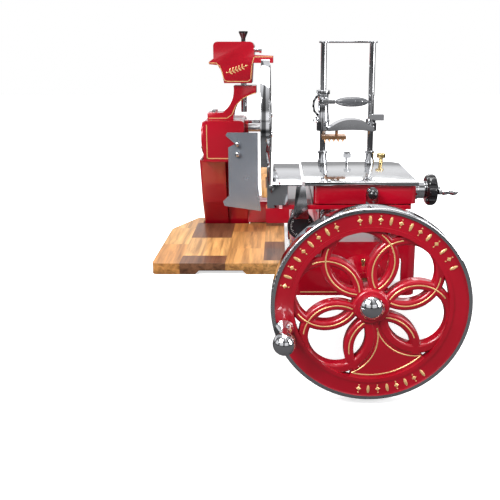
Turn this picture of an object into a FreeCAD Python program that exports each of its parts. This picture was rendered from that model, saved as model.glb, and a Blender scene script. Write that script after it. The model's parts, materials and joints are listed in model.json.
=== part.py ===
"""Hand-turned flywheel meat slicer: base, drive, knife, carriage, clamp, sharpener and board.

Frame: X to the operator's right, Y away from the operator, Z up.
Origin: centre of the base's bolt pattern, on the base's underside. Millimetres.
"""
import FreeCAD, Part
import math
import os

os.makedirs("parts", exist_ok=True)

# ---------------------------------------------------------------- driving dimensions
base_length = 560.0        # along Y
base_width = 240.0         # along X
base_height = 107.0
base_wall = 10.0
base_corner_radius = 18.0
bolt_hole_radius = 4.5
bolt_inset = 20.0          # bolt centre from the base's outer faces
lug_thickness = 12.0

shaft_height = 41.0        # main and cross shafts above the base's underside
shaft_x = 14.0
shaft_radius = 10.0
running_clearance = 0.05   # radial, on every turning or sliding fit
gap = 0.5                  # between bodies that pass each other

wheel_radius = 170.0
wheel_tread = 7.0          # radial thickness of the polished tyre
wheel_width = 34.0
wheel_front_y = -453.0
wheel_band = 29.0          # radial width of the flat painted band
ring_radius = 57.5         # centre line of each of the wheel's overlapping rings
ring_width = 17.0
ring_depth = 20.0
ring_count = 6
filled_ring = 4            # the ring that is cast solid as a counterweight
first_ring_angle = 45.0
wheel_hub_radius = 30.0
handle_angle = 195.0
handle_circle = 152.0
handle_length = 60.0
handle_ball_radius = 19.0

blade_radius = 150.0
blade_thickness = 3.5
blade_x = -163.0           # cutting plane
blade_y = 150.0
blade_z = 277.0
blade_gap = 3.0            # knife's edge to the guard and the gauge plate
guard_thickness = 15.0
guard_width = 16.0
gauge_width = 32.0
gauge_plate_thickness = 5.0
gauge_flange_width = 20.0
gauge_travel = 3.0

gear_module = 2.0
cross_gear_teeth = 32
idler_teeth = 52
knife_gear_teeth = 14
knife_gear_bore = 7.0
gear_x = -312.0            # left face of the gear train
gear_width = 14.0
main_bevel_teeth = 32
cross_bevel_teeth = 16
bevel_width = 11.0

head_left = -322.0         # drive head, the box at the top of the column
head_right = -225.0
head_front = 90.0
head_back = 238.0
head_bottom = 202.0
head_top = 299.0
head_wall = 5.0
case_left = -335.0
column_left = -273.0
case_foot_radius = 40.5
case_wall = 4.0
column_right = -222.0

rail_radius = 10.0
rail_height = 150.0
rail_x = (-50.0, 74.0)
rail_end_inset = 14.0

carriage_left = -80.0
carriage_right = 104.0
carriage_front = -336.0
carriage_back = -110.0
carriage_bottom = 193.0
carriage_top = 225.5
carriage_wall = 6.0
slide_bottom = 183.0       # lower carriage, the plate that runs on the rails
slide_top = 191.0
slide_left = -136.0
slide_right = 96.0
table_overhang = 4.0
table_thickness = 4.0
table_right = 106.0
table_left = -96.0
apron_left = -154.0
apron_right = -100.0
apron_thickness = 3.0

screw_y = -286.0
screw_z = 209.0
screw_radius = 6.0
handwheel_radius = 29.0

post_x = (-52.0, 46.0)
post_y = -118.0
post_radius = 6.0
post_top = 475.0
clamp_bottom = 318.0
clamp_height = 64.0

board_left = -410.0
board_side_gap = 9.0       # board to the base's left wall
board_front = -150.0
board_back = 263.0
board_thickness = 24.0
board_gap = 4.0

# ---------------------------------------------------------------- derived places
wheel_centre = (shaft_x, shaft_height)
board_right = -base_width / 2 - board_side_gap
tread_inner = wheel_radius - wheel_tread
band_inner = tread_inner - wheel_band
ring_circle = band_inner + ring_width / 4 - ring_radius
wheel_back_y = wheel_front_y + wheel_width
base_front = -base_length / 2
base_back = base_length / 2
train_length = gear_module / 2 * (cross_gear_teeth + 4 * idler_teeth + knife_gear_teeth)
train_rise = blade_z - shaft_height
cross_y = blade_y + math.sqrt(train_length ** 2 - train_rise ** 2)
table_bottom = carriage_top + gap + apron_thickness + gap
table_top = table_bottom + table_thickness
table_front = carriage_front - table_overhang
table_back = carriage_back + table_overhang
gauge_inner = blade_radius + blade_gap
gauge_outer = gauge_inner + gauge_width


# ---------------------------------------------------------------- helpers
def vec(x, y, z):
    return FreeCAD.Vector(x, y, z)


AXES = {"x": vec(1, 0, 0), "y": vec(0, 1, 0), "z": vec(0, 0, 1)}


def box(x0, x1, y0, y1, z0, z1):
    return Part.makeBox(x1 - x0, y1 - y0, z1 - z0, vec(x0, y0, z0))


def rod(axis, start, radius, length):
    return Part.makeCylinder(radius, length, vec(*start), AXES[axis])


def cone(axis, start, r0, r1, length):
    return Part.makeCone(r0, r1, length, vec(*start), AXES[axis])


def tube(axis, start, outer, inner, length):
    return rod(axis, start, outer, length).cut(rod(axis, start, inner, length))


def prism(points, direction):
    wire = Part.makePolygon([vec(*p) for p in points + points[:1]])
    return Part.Face(wire).extrude(vec(*direction))


def fuse(shapes):
    whole = shapes[0]
    for shape in shapes[1:]:
        whole = whole.fuse(shape)
    return whole.removeSplitter()


def cut_all(shape, tools):
    for tool in tools:
        shape = shape.cut(tool)
    return shape


def edges_along(shape, axis, where=None):
    """Straight edges of a shape that run along one axis."""
    found = []
    for edge in shape.Edges:
        if edge.Curve.TypeId != "Part::GeomLine":
            continue
        run = edge.Vertexes[-1].Point.sub(edge.Vertexes[0].Point)
        if run.Length and abs(run.normalize().dot(AXES[axis])) > 0.999:
            if where is None or where(edge.CenterOfMass):
                found.append(edge)
    return found


def rounded(shape, axis, radius, where=None):
    return shape.makeFillet(radius, edges_along(shape, axis, where))


def train_point(distance):
    """Y and Z of a point on the gear train's centre line, from the cross shaft up."""
    share = distance / train_length
    return cross_y + (blade_y - cross_y) * share, shaft_height + train_rise * share


def hull(first, r0, second, r1, x0, length):
    """Two circles in the YZ plane joined by their outer tangents, pushed along X."""
    dy, dz = second[0] - first[0], second[1] - first[1]
    reach = math.hypot(dy, dz)
    heading = math.atan2(dz, dy)
    spread = math.acos((r0 - r1) / reach)
    corners = []
    for centre, radius in ((first, r0), (second, r1)):
        for side in (1, -1):
            turn = heading + side * spread
            corners.append((x0, centre[0] + radius * math.cos(turn),
                            centre[1] + radius * math.sin(turn)))
    body = prism([corners[0], corners[1], corners[3], corners[2]], (length, 0, 0))
    return fuse([body, rod("x", (x0, *first), r0, length), rod("x", (x0, *second), r1, length)])


def tooth_outline(teeth, module, phase=0.0):
    """Points of a gear's outline: flanks from root to tip with backlash at the pitch line."""
    pitch = module * teeth / 2
    root, tip = pitch - 1.25 * module, pitch + 0.9 * module
    step = 2 * math.pi / teeth
    points = []
    for i in range(teeth):
        middle = i * step + phase
        for radius, share in ((root, 0.33), (pitch, 0.215), (tip, 0.10)):
            points.append((radius, middle - share * step))
        for radius, share in ((tip, 0.10), (pitch, 0.215), (root, 0.33)):
            points.append((radius, middle + share * step))
    return points


def spur_gear(teeth, centre, x0, width, bore, phase):
    points = [(x0, centre[0] + r * math.cos(a), centre[1] + r * math.sin(a))
              for r, a in tooth_outline(teeth, gear_module, phase)]
    return prism(points, (width, 0, 0)).cut(rod("x", (x0, *centre), bore, width))


def mesh_phase(teeth, partner_teeth, partner_phase, heading):
    """Phase that puts a gap of this gear on the partner's tooth, along the line of centres."""
    turned = (heading - partner_phase) * partner_teeth / teeth
    return heading + math.pi + turned + math.pi / teeth


def bevel_gear(teeth, mate_teeth, apex, axis, sign, phase, bore, hub_length):
    """Straight bevel gear on an axis through the apex, its teeth tapering to the apex."""
    pitch = gear_module * teeth / 2
    apex_distance = gear_module * mate_teeth / 2
    slant = math.hypot(pitch, apex_distance)
    small = 1 - bevel_width / slant

    def ring(scale):
        places = []
        for radius, angle in tooth_outline(teeth, gear_module, phase):
            off = (radius - pitch) * apex_distance / slant
            back = (radius - pitch) * pitch / slant
            r = (pitch + off) * scale
            along = sign * (apex_distance - back) * scale
            u, v = r * math.cos(angle), r * math.sin(angle)
            if axis == "y":
                places.append(vec(apex[0] + u, apex[1] + along, apex[2] + v))
            else:
                places.append(vec(apex[0] + along, apex[1] + u, apex[2] + v))
        return places

    outer, inner = ring(1.0), ring(small)
    faces = []
    count = len(outer)
    for i in range(count):
        a, b = outer[i], outer[(i + 1) % count]
        c, d = inner[(i + 1) % count], inner[i]
        faces.append(Part.Face(Part.makePolygon([a, b, c, a])))
        faces.append(Part.Face(Part.makePolygon([a, c, d, a])))
    for places in (outer, inner):
        mean = vec(0, 0, 0)
        for p in places:
            mean = mean.add(vec(p.x / count, p.y / count, p.z / count))
        for i in range(count):
            faces.append(Part.Face(Part.makePolygon([places[i], places[(i + 1) % count], mean,
                                                     places[i]])))
    body = Part.Solid(Part.Shell(faces))
    if body.Volume < 0:
        body.reverse()
    along = sign * (apex_distance + gear_module * 0.4)
    hub_start = list(apex)
    index = 1 if axis == "y" else 0
    hub_start[index] += along - (hub_length if sign < 0 else 0)
    body = body.fuse(rod(axis, tuple(hub_start), pitch * 0.6, hub_length))
    bore_start = list(apex)
    bore_start[index] -= 100
    return body.cut(rod(axis, tuple(bore_start), bore, 200))


def save(name, shape):
    solids = shape.Solids
    shape = solids[0] if len(solids) == 1 else Part.makeCompound(solids)
    shape.exportStep("parts/" + name + ".step")
    print(name, len(solids), round(shape.Volume / 1000, 1), "cm3", "valid", shape.isValid())


# ---------------------------------------------------------------- base
def base_casting():
    half = base_width / 2
    outer = rounded(box(-half, half, base_front, base_back, 0, base_height), "z", base_corner_radius)
    inner = box(-half + base_wall, half - base_wall, base_front + base_wall, base_back - base_wall,
                -1, base_height - base_wall)
    shell = outer.cut(inner)
    arm_inner = 8.0
    arm_floor = board_thickness + 2
    arm = box(column_right, -half + base_wall, cross_y - 40, cross_y + 38, arm_floor,
              shaft_height + 40)
    arm_room = box(column_right + arm_inner, -half + base_wall + 1, cross_y - 32, cross_y + 30,
                   arm_floor + 3, shaft_height + 32)
    shell = shell.fuse(arm).cut(arm_room)
    reach = half - bolt_inset
    for sx in (-1, 1):
        for sy in (-1, 1):
            cx, cy = sx * reach, sy * (base_length / 2 - bolt_inset)
            lug = box(cx - 13, cx + 13, cy - 13, cy + 13, 0, lug_thickness)
            shell = shell.fuse(lug)
    shell = shell.removeSplitter()
    side_arch = rounded(box(-half - 1, half + 1, base_front + 70, base_back - 150, -1, 66), "x", 28,
                        lambda p: p.z > 30)
    right_arch = box(0, half + 1, base_back - 120, base_back - 60, -1, 66)
    right_arch = rounded(right_arch, "x", 26, lambda p: p.z > 30)
    front_window = rounded(box(66, 92, base_front - 1, base_front + base_wall + 1, 8, 78), "y", 12)
    holes = [rod("z", (sx * reach, sy * (base_length / 2 - bolt_inset), -1), bolt_hole_radius,
                 lug_thickness + 2) for sx in (-1, 1) for sy in (-1, 1)]
    nose_hole = rod("y", (shaft_x, base_front - 1, shaft_height), shaft_radius + 8, base_wall + 2)
    cross_hole = rod("x", (column_right - 1, cross_y, shaft_height), shaft_radius + 3, 12)
    bevel_room = rod("x", (base_wall - half, cross_y, shaft_height),
                     gear_module * (cross_bevel_teeth / 2 + 1) + 2 * gap, shaft_x + 45 + half - base_wall)
    return cut_all(shell, [side_arch, right_arch, front_window, nose_hole, cross_hole, bevel_room]
                   + holes)


def shaft_housing():
    """Bell-shaped nose on the base's front wall that carries the main shaft's front bearing."""
    length = 56.0
    bell = cone("y", (shaft_x, base_front - length, shaft_height), 26, 41, length)
    collar = rod("y", (shaft_x, base_front - length - 6, shaft_height), 24, 6)
    spigot = rod("y", (shaft_x, base_front, shaft_height), shaft_radius + 8, base_wall)
    hole = rod("y", (shaft_x, base_front - length - 10, shaft_height), shaft_radius + 5,
               length + base_wall + 20)
    return fuse([bell, collar, spigot]).cut(hole)


def main_bearings():
    """Bronze bushes for the main shaft, in the nose and in the rear hanger."""
    bushes = []
    for start in (base_front - 62, base_front - 8, cross_y - 62):
        bushes.append(tube("y", (shaft_x, start, shaft_height), shaft_radius + 5,
                           shaft_radius + running_clearance, 18))
    return Part.makeCompound(bushes)


def rear_hanger():
    """Web under the deck that holds the main shaft's rear bush."""
    start = cross_y - 62
    web = box(shaft_x - 24, shaft_x + 24, start, start + 18, shaft_height, base_height - base_wall)
    eye = rod("y", (shaft_x, start, shaft_height), 24, 18)
    return fuse([web, eye]).cut(rod("y", (shaft_x, start - 1, shaft_height), shaft_radius + 5, 20))


# ---------------------------------------------------------------- flywheel
def flywheel():
    cx, cz = wheel_centre
    face = wheel_front_y + 2
    band = tube("y", (cx, face, cz), tread_inner, band_inner, 9)
    skirt = tube("y", (cx, face, cz), tread_inner, tread_inner - 4, wheel_width - 4)
    lip = tube("y", (cx, face - 1.5, cz), band_inner + 4, band_inner - 3, ring_depth - 4)
    pieces = [band, skirt, lip]
    ring_front = face + 3
    centres = []
    for i in range(ring_count):
        angle = math.radians(first_ring_angle + 360 / ring_count * i)
        centres.append((cx + ring_circle * math.cos(angle), ring_front,
                        cz + ring_circle * math.sin(angle)))
    for centre in centres:
        ring = tube("y", centre, ring_radius + ring_width / 2, ring_radius - ring_width / 2, ring_depth)
        pieces.append(ring.makeFillet(5.0, [e for e in ring.Edges if e.Curve.TypeId ==
                                            "Part::GeomCircle" and abs(e.CenterOfMass.y - ring_front)
                                            < 0.01]))
    before, after = centres[filled_ring - 1], centres[(filled_ring + 1) % ring_count]
    beside = fuse([rod("y", (c[0], face, c[2]), ring_radius + ring_width / 2, 40)
                   for c in (before, after)])
    pieces[3 + filled_ring] = pieces[3 + filled_ring].common(beside)
    middle = math.radians(first_ring_angle + 360 / ring_count * filled_ring)
    spread = math.radians(360 / ring_count)
    reach = tread_inner / math.cos(spread / 2)
    fan = prism([(cx, ring_front + 2, cz)] +
                [(cx + reach * math.cos(middle + side * spread), ring_front + 2,
                  cz + reach * math.sin(middle + side * spread)) for side in (-0.5, 0, 0.5)],
                (0, 10, 0))
    for centre in (before, after):
        fan = fan.cut(rod("y", (centre[0], face, centre[2]), ring_radius, 40))
    pieces.append(fan)
    trim = rod("y", (cx, face - 5, cz), band_inner + 2, 60)
    flower = fuse(pieces[3:]).common(trim)
    hub = rod("y", (cx, face - 2, cz), wheel_hub_radius, ring_depth + 26)
    hub = hub.makeFillet(4.0, [e for e in hub.Edges if abs(e.CenterOfMass.y - face + 2) < 0.01])
    whole = fuse([flower, hub] + pieces[:3])
    bore = rod("y", (cx, face - 20, cz), shaft_radius, 120)
    angle = math.radians(handle_angle)
    pin_hole = rod("y", (cx + handle_circle * math.cos(angle), face - 5,
                         cz + handle_circle * math.sin(angle)), 5, 30)
    return whole.cut(bore).cut(pin_hole)


def flywheel_tyre():
    """Polished band round the wheel, rounded at its front edge."""
    cx, cz = wheel_centre
    ring = tube("y", (cx, wheel_front_y, cz), wheel_radius, tread_inner, wheel_width)
    front = [e for e in ring.Edges if e.Curve.TypeId == "Part::GeomCircle"
             and abs(e.CenterOfMass.y - wheel_front_y) < 0.01 and e.Curve.Radius > wheel_radius - 1]
    return ring.makeFillet(3.0, front)


def hub_cap():
    cx, cz = wheel_centre
    base = rod("y", (cx, wheel_front_y - 6, cz), 20.5, 6)
    ball = Part.makeSphere(24, vec(cx, wheel_front_y + 6.5, cz))
    dome = ball.common(box(cx - 30, cx + 30, wheel_front_y - 30, wheel_front_y - 6, cz - 30, cz + 30))
    return fuse([base, dome])


def main_shaft():
    front = wheel_front_y
    return rod("y", (shaft_x, front, shaft_height), shaft_radius, cross_y - 24 - front)


def main_bevel():
    return bevel_gear(main_bevel_teeth, cross_bevel_teeth, (shaft_x, cross_y, shaft_height), "y", -1,
                      0.0, shaft_radius, 12)


def handle_pin():
    angle = math.radians(handle_angle)
    x = shaft_x + handle_circle * math.cos(angle)
    z = shaft_height + handle_circle * math.sin(angle)
    pin = rod("y", (x, wheel_front_y - handle_length, z), 5, handle_length + wheel_width - 10)
    nut = rod("y", (x, wheel_front_y + 11, z), 6.5, 8)
    washer = rod("y", (x, wheel_front_y, z), 9, 2)
    return fuse([pin, nut, washer])


def handle_grip():
    """Turned spool with a ball end, free on its pin."""
    angle = math.radians(handle_angle)
    x = shaft_x + handle_circle * math.cos(angle)
    z = shaft_height + handle_circle * math.sin(angle)
    y = wheel_front_y + 0.5
    waist = handle_length - handle_ball_radius
    flare = cone("y", (x, y - 20, z), 9.5, 17, 19)
    neck = rod("y", (x, y - waist - 8, z), 9.5, waist - 11)
    ball = Part.makeSphere(handle_ball_radius, vec(x, wheel_front_y - handle_length, z))
    whole = fuse([flare, neck, ball])
    return whole.cut(rod("y", (x, wheel_front_y - handle_length - 1, z),
                         5 + running_clearance, 100))


# ---------------------------------------------------------------- column, case and gear train
def column():
    foot = (cross_y, shaft_height)
    top = train_point(train_length * (head_bottom - 46 - shaft_height) / train_rise)
    width = column_right - column_left
    body = hull(foot, 38, top, 44, column_left, width)
    body = body.fuse(box(column_left, column_right, top[0] - 44, top[0] + 44, top[1], head_bottom))
    body = body.common(box(column_left, column_right, 0, 400, 0, head_bottom)).removeSplitter()
    pin_seat = rod("x", (column_left - 1, *train_centre(2)), 12, width + 2)
    return body.cut(rod("x", (column_left - 1, *foot), shaft_radius + 3, width + 2)).cut(pin_seat)


def case_shape(inset, x0, length):
    lower, upper = train_centre(1), train_centre(2)
    wide = gear_module * (idler_teeth / 2 + 1) + case_wall + 1 - inset
    narrow = case_foot_radius - inset
    shape = hull((cross_y, shaft_height), narrow, lower, wide, x0, length)
    shape = shape.fuse(hull(lower, wide, upper, wide - 0.01, x0, length))
    return shape.common(box(x0, x0 + length, 0, 400, 0, head_bottom)).removeSplitter()


def gear_case():
    """Cover over the lower gears, open towards the column and the head."""
    outer = case_shape(0, case_left, column_left - case_left)
    outer = outer.makeFillet(6.0, [e for e in outer.Edges if abs(e.CenterOfMass.x - case_left) < 0.1
                                   and e.CenterOfMass.z < head_bottom - 1])
    return outer.cut(case_shape(case_wall, case_left + case_wall, column_left - case_left))


def drive_head():
    """Cast box that carries the knife shaft, open below for the gear train."""
    outer = rounded(box(head_left, head_right, head_front, head_back, head_bottom, head_top), "y", 8,
                    lambda p: p.z > head_bottom + 1)
    inner = box(head_left + head_wall, head_right - 12, head_front + head_wall, head_back - head_wall,
                head_bottom - 1, head_top - head_wall)
    shell = outer.cut(inner)
    boss = rod("x", (head_right, blade_y, blade_z), 20, 8)
    shell = shell.fuse(boss)
    left_window = rod("x", (head_left - 1, blade_y, blade_z - 24), 34, head_wall + 2)
    bore = rod("x", (head_right - 13, blade_y, blade_z), 15, 22)
    top_seat = rod("z", (-234, 130, head_top - head_wall - 1), 4, head_wall + 2)
    return shell.cut(left_window).cut(bore).cut(top_seat)


def head_cover():
    """Round inspection cover on the head's left side."""
    disc = rod("x", (head_left - 7, blade_y, blade_z - 24), 40, 7)
    disc = disc.makeFillet(3.0, [e for e in disc.Edges if abs(e.CenterOfMass.x - head_left + 7) < 0.1])
    plug = rod("x", (head_left, blade_y, blade_z - 24), 34 - running_clearance, head_wall)
    return fuse([disc, plug])


def screw_set(places, axis, radius, height, sign):
    """Slotted screw heads standing off a face."""
    heads = []
    for x, y, z in places:
        start = (x if axis != "x" or sign > 0 else x - height,
                 y if axis != "y" or sign > 0 else y - height, z)
        head = rod(axis, start, radius, height)
        if axis == "x":
            outer = start[0] + (height if sign > 0 else 0)
            slot = box(outer - 0.8, outer + 0.8, y - radius, y + radius, z - 0.6, z + 0.6)
        elif axis == "y":
            outer = start[1] + (height if sign > 0 else 0)
            slot = box(x - radius, x + radius, outer - 0.8, outer + 0.8, z - 0.6, z + 0.6)
        else:
            outer = z + height
            slot = box(x - radius, x + radius, y - 0.6, y + 0.6, outer - 0.8, outer + 0.8)
        heads.append(head.cut(slot))
    return Part.makeCompound(heads)


def train_centre(number):
    """Centre of gear 0 to 3, counted from the cross shaft."""
    pitches = [cross_gear_teeth, idler_teeth, idler_teeth, knife_gear_teeth]
    distance = sum(pitches[i] / 2 + pitches[i + 1] / 2 for i in range(number)) * gear_module
    return train_point(distance)


def train_gears():
    teeth = [cross_gear_teeth, idler_teeth, idler_teeth, knife_gear_teeth]
    heading = math.atan2(train_rise, blade_y - cross_y)
    bores = [shaft_radius, 8 + running_clearance, 8 + running_clearance, knife_gear_bore]
    phase = 0.0
    gears = []
    for i, count in enumerate(teeth):
        if i:
            phase = mesh_phase(count, teeth[i - 1], phase, heading)
        gears.append(spur_gear(count, train_centre(i), gear_x, gear_width, bores[i], phase))
    return gears


def idler_pins():
    pins = []
    for number in (1, 2):
        y, z = train_centre(number)
        right = column_left if number == 1 else head_right - 12
        pins.append(fuse([rod("x", (gear_x - 2, y, z), 8, right - gear_x + 2),
                          rod("x", (gear_x + gear_width + gap, y, z), 12,
                              right - gear_x - gear_width - gap)]))
    return Part.makeCompound(pins)


def cross_shaft():
    return rod("x", (gear_x - 4, cross_y, shaft_height), shaft_radius, shaft_x - 20 - gear_x)


def cross_bearings():
    return Part.makeCompound([
        tube("x", (column_left, cross_y, shaft_height), shaft_radius + 3,
             shaft_radius + running_clearance, 20),
        tube("x", (column_right - 10, cross_y, shaft_height), shaft_radius + 3,
             shaft_radius + running_clearance, 18)])


def cross_bevel():
    phase = math.pi / cross_bevel_teeth
    return bevel_gear(cross_bevel_teeth, main_bevel_teeth, (shaft_x, cross_y, shaft_height), "x", -1,
                      phase, shaft_radius, 10)


# ---------------------------------------------------------------- knife, guard and gauge plate
def blade():
    """Dished knife with a ground edge and a round of lightening holes at its hub."""
    profile = [(blade_x - 1, 0, 0), (blade_x - 1, 0, 60), (blade_x - 5, 0, 66),
               (blade_x - 5, 0, blade_radius - 16), (blade_x - 0.4, 0, blade_radius),
               (blade_x, 0, blade_radius), (blade_x, 0, blade_radius - 7),
               (blade_x - 5 + blade_thickness - 0.5, 0, blade_radius - 16),
               (blade_x - 5 + blade_thickness - 0.5, 0, 68),
               (blade_x + blade_thickness - 1, 0, 60), (blade_x + blade_thickness - 1, 0, 0)]
    face = Part.Face(Part.makePolygon([vec(*p) for p in profile + profile[:1]]))
    disc = face.revolve(vec(0, 0, 0), vec(1, 0, 0), 360)
    disc.translate(vec(0, blade_y, blade_z))
    holes = [rod("x", (blade_x - 10, blade_y, blade_z), shaft_radius, 20)]
    for i in range(3):
        angle = math.radians(90 + 120 * i)
        holes.append(rod("x", (blade_x - 10, blade_y + 30 * math.cos(angle),
                               blade_z + 30 * math.sin(angle)), 3, 20))
    return cut_all(disc, holes)


def blade_hub():
    """Flange behind the knife, with the three screws and the nut that hold it."""
    flange = rod("x", (blade_x - 13, blade_y, blade_z), 42, 12)
    flange = flange.fuse(rod("x", (blade_x - 24, blade_y, blade_z), 20, 11))
    return flange.cut(rod("x", (blade_x - 30, blade_y, blade_z), shaft_radius, 40)).removeSplitter()


def blade_screws():
    places = []
    for i in range(3):
        angle = math.radians(90 + 120 * i)
        places.append((blade_x + blade_thickness - 1, blade_y + 30 * math.cos(angle),
                       blade_z + 30 * math.sin(angle)))
    return screw_set(places, "x", 5, 2.5, 1)


def blade_shaft():
    """Knife shaft, stepped down where its small gear is pressed on."""
    shoulder = gear_x + gear_width + 1
    thin = rod("x", (gear_x - 4, blade_y, blade_z), knife_gear_bore, shoulder - gear_x + 4)
    return fuse([thin, rod("x", (shoulder, blade_y, blade_z), shaft_radius,
                           blade_x + 2 - shoulder)])


def blade_bearing():
    return tube("x", (head_right - 12, blade_y, blade_z), 15, shaft_radius + running_clearance, 20)


def sector(x0, width, outer, inner, start, end):
    """Part of a ring round the knife's axis; 0 degrees is the back, 90 the top."""
    def at(radius, angle):
        a = math.radians(angle)
        return vec(x0, blade_y + radius * math.cos(a), blade_z + radius * math.sin(a))

    middle = (start + end) / 2
    arcs = [Part.Arc(at(outer, start), at(outer, middle), at(outer, end)).toShape(),
            Part.makeLine(at(outer, end), at(inner, end)),
            Part.Arc(at(inner, end), at(inner, middle), at(inner, start)).toShape(),
            Part.makeLine(at(inner, start), at(outer, start))]
    return Part.Face(Part.Wire(arcs)).extrude(vec(width, 0, 0))


def blade_guard():
    ring = sector(blade_x - 18, guard_width, gauge_inner + guard_thickness, gauge_inner, -100, 66)
    side = sector(blade_x - 18, 3, gauge_inner + 1, gauge_inner - 22, -100, 66)
    return ring.fuse(side).removeSplitter()


def guard_bracket():
    """Stay from the drive head to the guard's rear."""
    angle = math.radians(20)
    radius = gauge_inner + 7
    y, z = blade_y + radius * math.cos(angle), blade_z + radius * math.sin(angle)
    arm_z = head_top - 16
    bar = box(head_right, blade_x - 18, head_back - 22, head_back - 8, arm_z - 6, arm_z + 6)
    riser = box(blade_x - 24, blade_x - 18, head_back - 22, y + 8, arm_z - 6, arm_z + 6)
    plate = box(blade_x - 24, blade_x - 18, y - 12, y + 8, arm_z - 6, z + 10)
    return fuse([bar, riser, plate])


def gauge_plate():
    """Crescent plate in front of the knife with a rolled front flange and a foot."""
    left = blade_x - gauge_plate_thickness
    crescent = sector(left, gauge_plate_thickness, gauge_outer, gauge_inner, 118, 236)
    flange = sector(blade_x - gauge_flange_width, gauge_flange_width, gauge_outer, gauge_outer - 3,
                    118, 236)
    leg = box(left, blade_x, -75, blade_y - gauge_outer + 24, 126, blade_z - 60)
    lip = box(left, blade_x + 21, -75, -71, 126, 176)
    foot = box(left, blade_x + 21, -75, -40, 126, 130)
    return fuse([crescent, flange, leg, lip, foot])


def gauge_block():
    """Slide bed on the base's left wall that the gauge plate's foot moves on."""
    half = base_width / 2
    bed = box(blade_x - 8, -half, -76, -36, 93, 126 - gap)
    return rounded(bed, "y", 5, lambda p: p.x < -half - 5 and p.z < 100)


def thickness_housing():
    """Long bell on the deck that holds the thickness spindle."""
    x, z = -base_width / 2 + 20, base_height + 28
    body = cone("y", (x, -238, z), 23, 15, 128)
    cheek = box(x - 10, x + 10, -170, -120, base_height, z)
    return fuse([body, cheek]).cut(rod("y", (x, -239, z), 7 + running_clearance, 60))


def thickness_knob():
    x, z = -base_width / 2 + 20, base_height + 28
    face = rod("y", (x, -270, z), 26, 8)
    face = face.makeFillet(2.0, [e for e in face.Edges if abs(e.CenterOfMass.y + 270) < 0.1])
    skirt = cone("y", (x, -262, z), 26, 21, 24 - gap)
    spindle = rod("y", (x, -262, z), 7, 80)
    knob = fuse([face, skirt, spindle])
    return knob.cut(tube("y", (x, -271, z), 22.5, 21.5, 1.8))


# ---------------------------------------------------------------- deflector
def deflector_plate():
    """Polished plate hung in front of the drive head, notched at its upper left."""
    y = head_front - 10
    outline = [(-264, y, 273), (-192, y, 273), (-192, y, 150), (-186, y, 84), (-273, y, 97),
               (-276, y, 108), (-262, y, 122), (-262, y, 238), (-246, y, 246), (-268, y, 266)]
    return prism(outline, (0, 1.6, 0))


def deflector_stays():
    """Standoffs and knurled screws that hold the deflector to the head."""
    places = ((-240, 246), (-240, 222))
    y = head_front - 8.4
    stays = [rod("y", (x, y, z), 5, head_front - y) for x, z in places]
    heads = [rod("y", (x, head_front - 10 - 7, z), 6, 7) for x, z in places]
    return Part.makeCompound(stays + heads)


# ---------------------------------------------------------------- sharpener
def sharpener_arm():
    """Swan-neck casting from the head's top to the sharpener's platform."""
    foot_top = head_top + 18
    outline = [(-312, head_top), (-250, head_top)]
    inner_arc = Part.Arc(vec(-250, 0, head_top), vec(-236, 0, 342), vec(-196, 0, 362)).toShape()
    outer_arc = Part.Arc(vec(-246 - 3, 0, 380), vec(-256, 0, 340), vec(-276, 0, foot_top)).toShape()
    lines = [Part.makeLine(vec(outline[0][0], 0, head_top), vec(outline[1][0], 0, head_top)),
             inner_arc,
             Part.makeLine(vec(-196, 0, 362), vec(-196, 0, 380)),
             Part.makeLine(vec(-196, 0, 380), vec(-249, 0, 380)),
             outer_arc,
             Part.makeLine(vec(-276, 0, foot_top), vec(-312, 0, foot_top)),
             Part.makeLine(vec(-312, 0, foot_top), vec(-312, 0, head_top))]
    body = Part.Face(Part.Wire(lines)).extrude(vec(0, 50, 0))
    body.translate(vec(0, 105, 0))
    return body.cut(rod("z", (-226, 130, 300), 7 + running_clearance, 100))


def arm_screws():
    return screw_set([(-296, 118, head_top + 18), (-296, 142, head_top + 18)], "z", 6, 5, 1)


def sharpener_housing():
    """Cast cover with a shelf over the knife; hollow from below."""
    outline = [(-294, 442), (-305, 434), (-304, 429), (-284, 427), (-275, 412), (-270, 386),
               (-206, 386), (-203, 432), (-156, 432), (-156, 448), (-200, 450), (-200, 480),
               (-294, 480)]
    body = prism([(x, 95, z) for x, z in outline], (0, 76, 0))
    body = rounded(body, "y", 10, lambda p: p.z > 478)
    hollow = prism([(-288, 101, 440), (-268, 101, 384), (-212, 101, 384), (-208, 101, 474),
                    (-288, 101, 474)], (0, 64, 0))
    slot = box(-192, -170, 101, 165, 430, 444)
    boss = rod("z", (-226, 130, 386), 12, 88)
    shell = body.cut(hollow).cut(slot).fuse(boss)
    button_hole = rod("x", (-215, 120, 461), 5 + running_clearance, 20)
    bore = rod("z", (-226, 130, 380), 7, 102)
    return shell.cut(button_hole).cut(bore).removeSplitter()


def sharpener_rod():
    return rod("z", (-226, 130, 317), 7, 163)


def sharpener_knob():
    stem = rod("z", (-226, 130, 480), 5, 8)
    flare = cone("z", (-226, 130, 488), 5, 10.5, 13)
    top = rod("z", (-226, 130, 501), 10.5, 3)
    return fuse([stem, flare, top])


def stone_button():
    return fuse([rod("x", (-212, 120, 461), 5, 24), rod("x", (-188, 120, 461), 7, 5)])


def stone_pins():
    return rod("y", (-181, 101, 437.5), 3, 64)


def grinding_stones():
    return Part.makeCompound([tube("y", (-181, start, 437.5), 5, 3 + running_clearance, 20)
                              for start in (108, 138)])


# ---------------------------------------------------------------- carriage
def rails():
    length = base_length - 2 * rail_end_inset + 20
    return Part.makeCompound([rod("y", (x, base_front + rail_end_inset - 10, rail_height),
                                  rail_radius, length) for x in rail_x])


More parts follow.
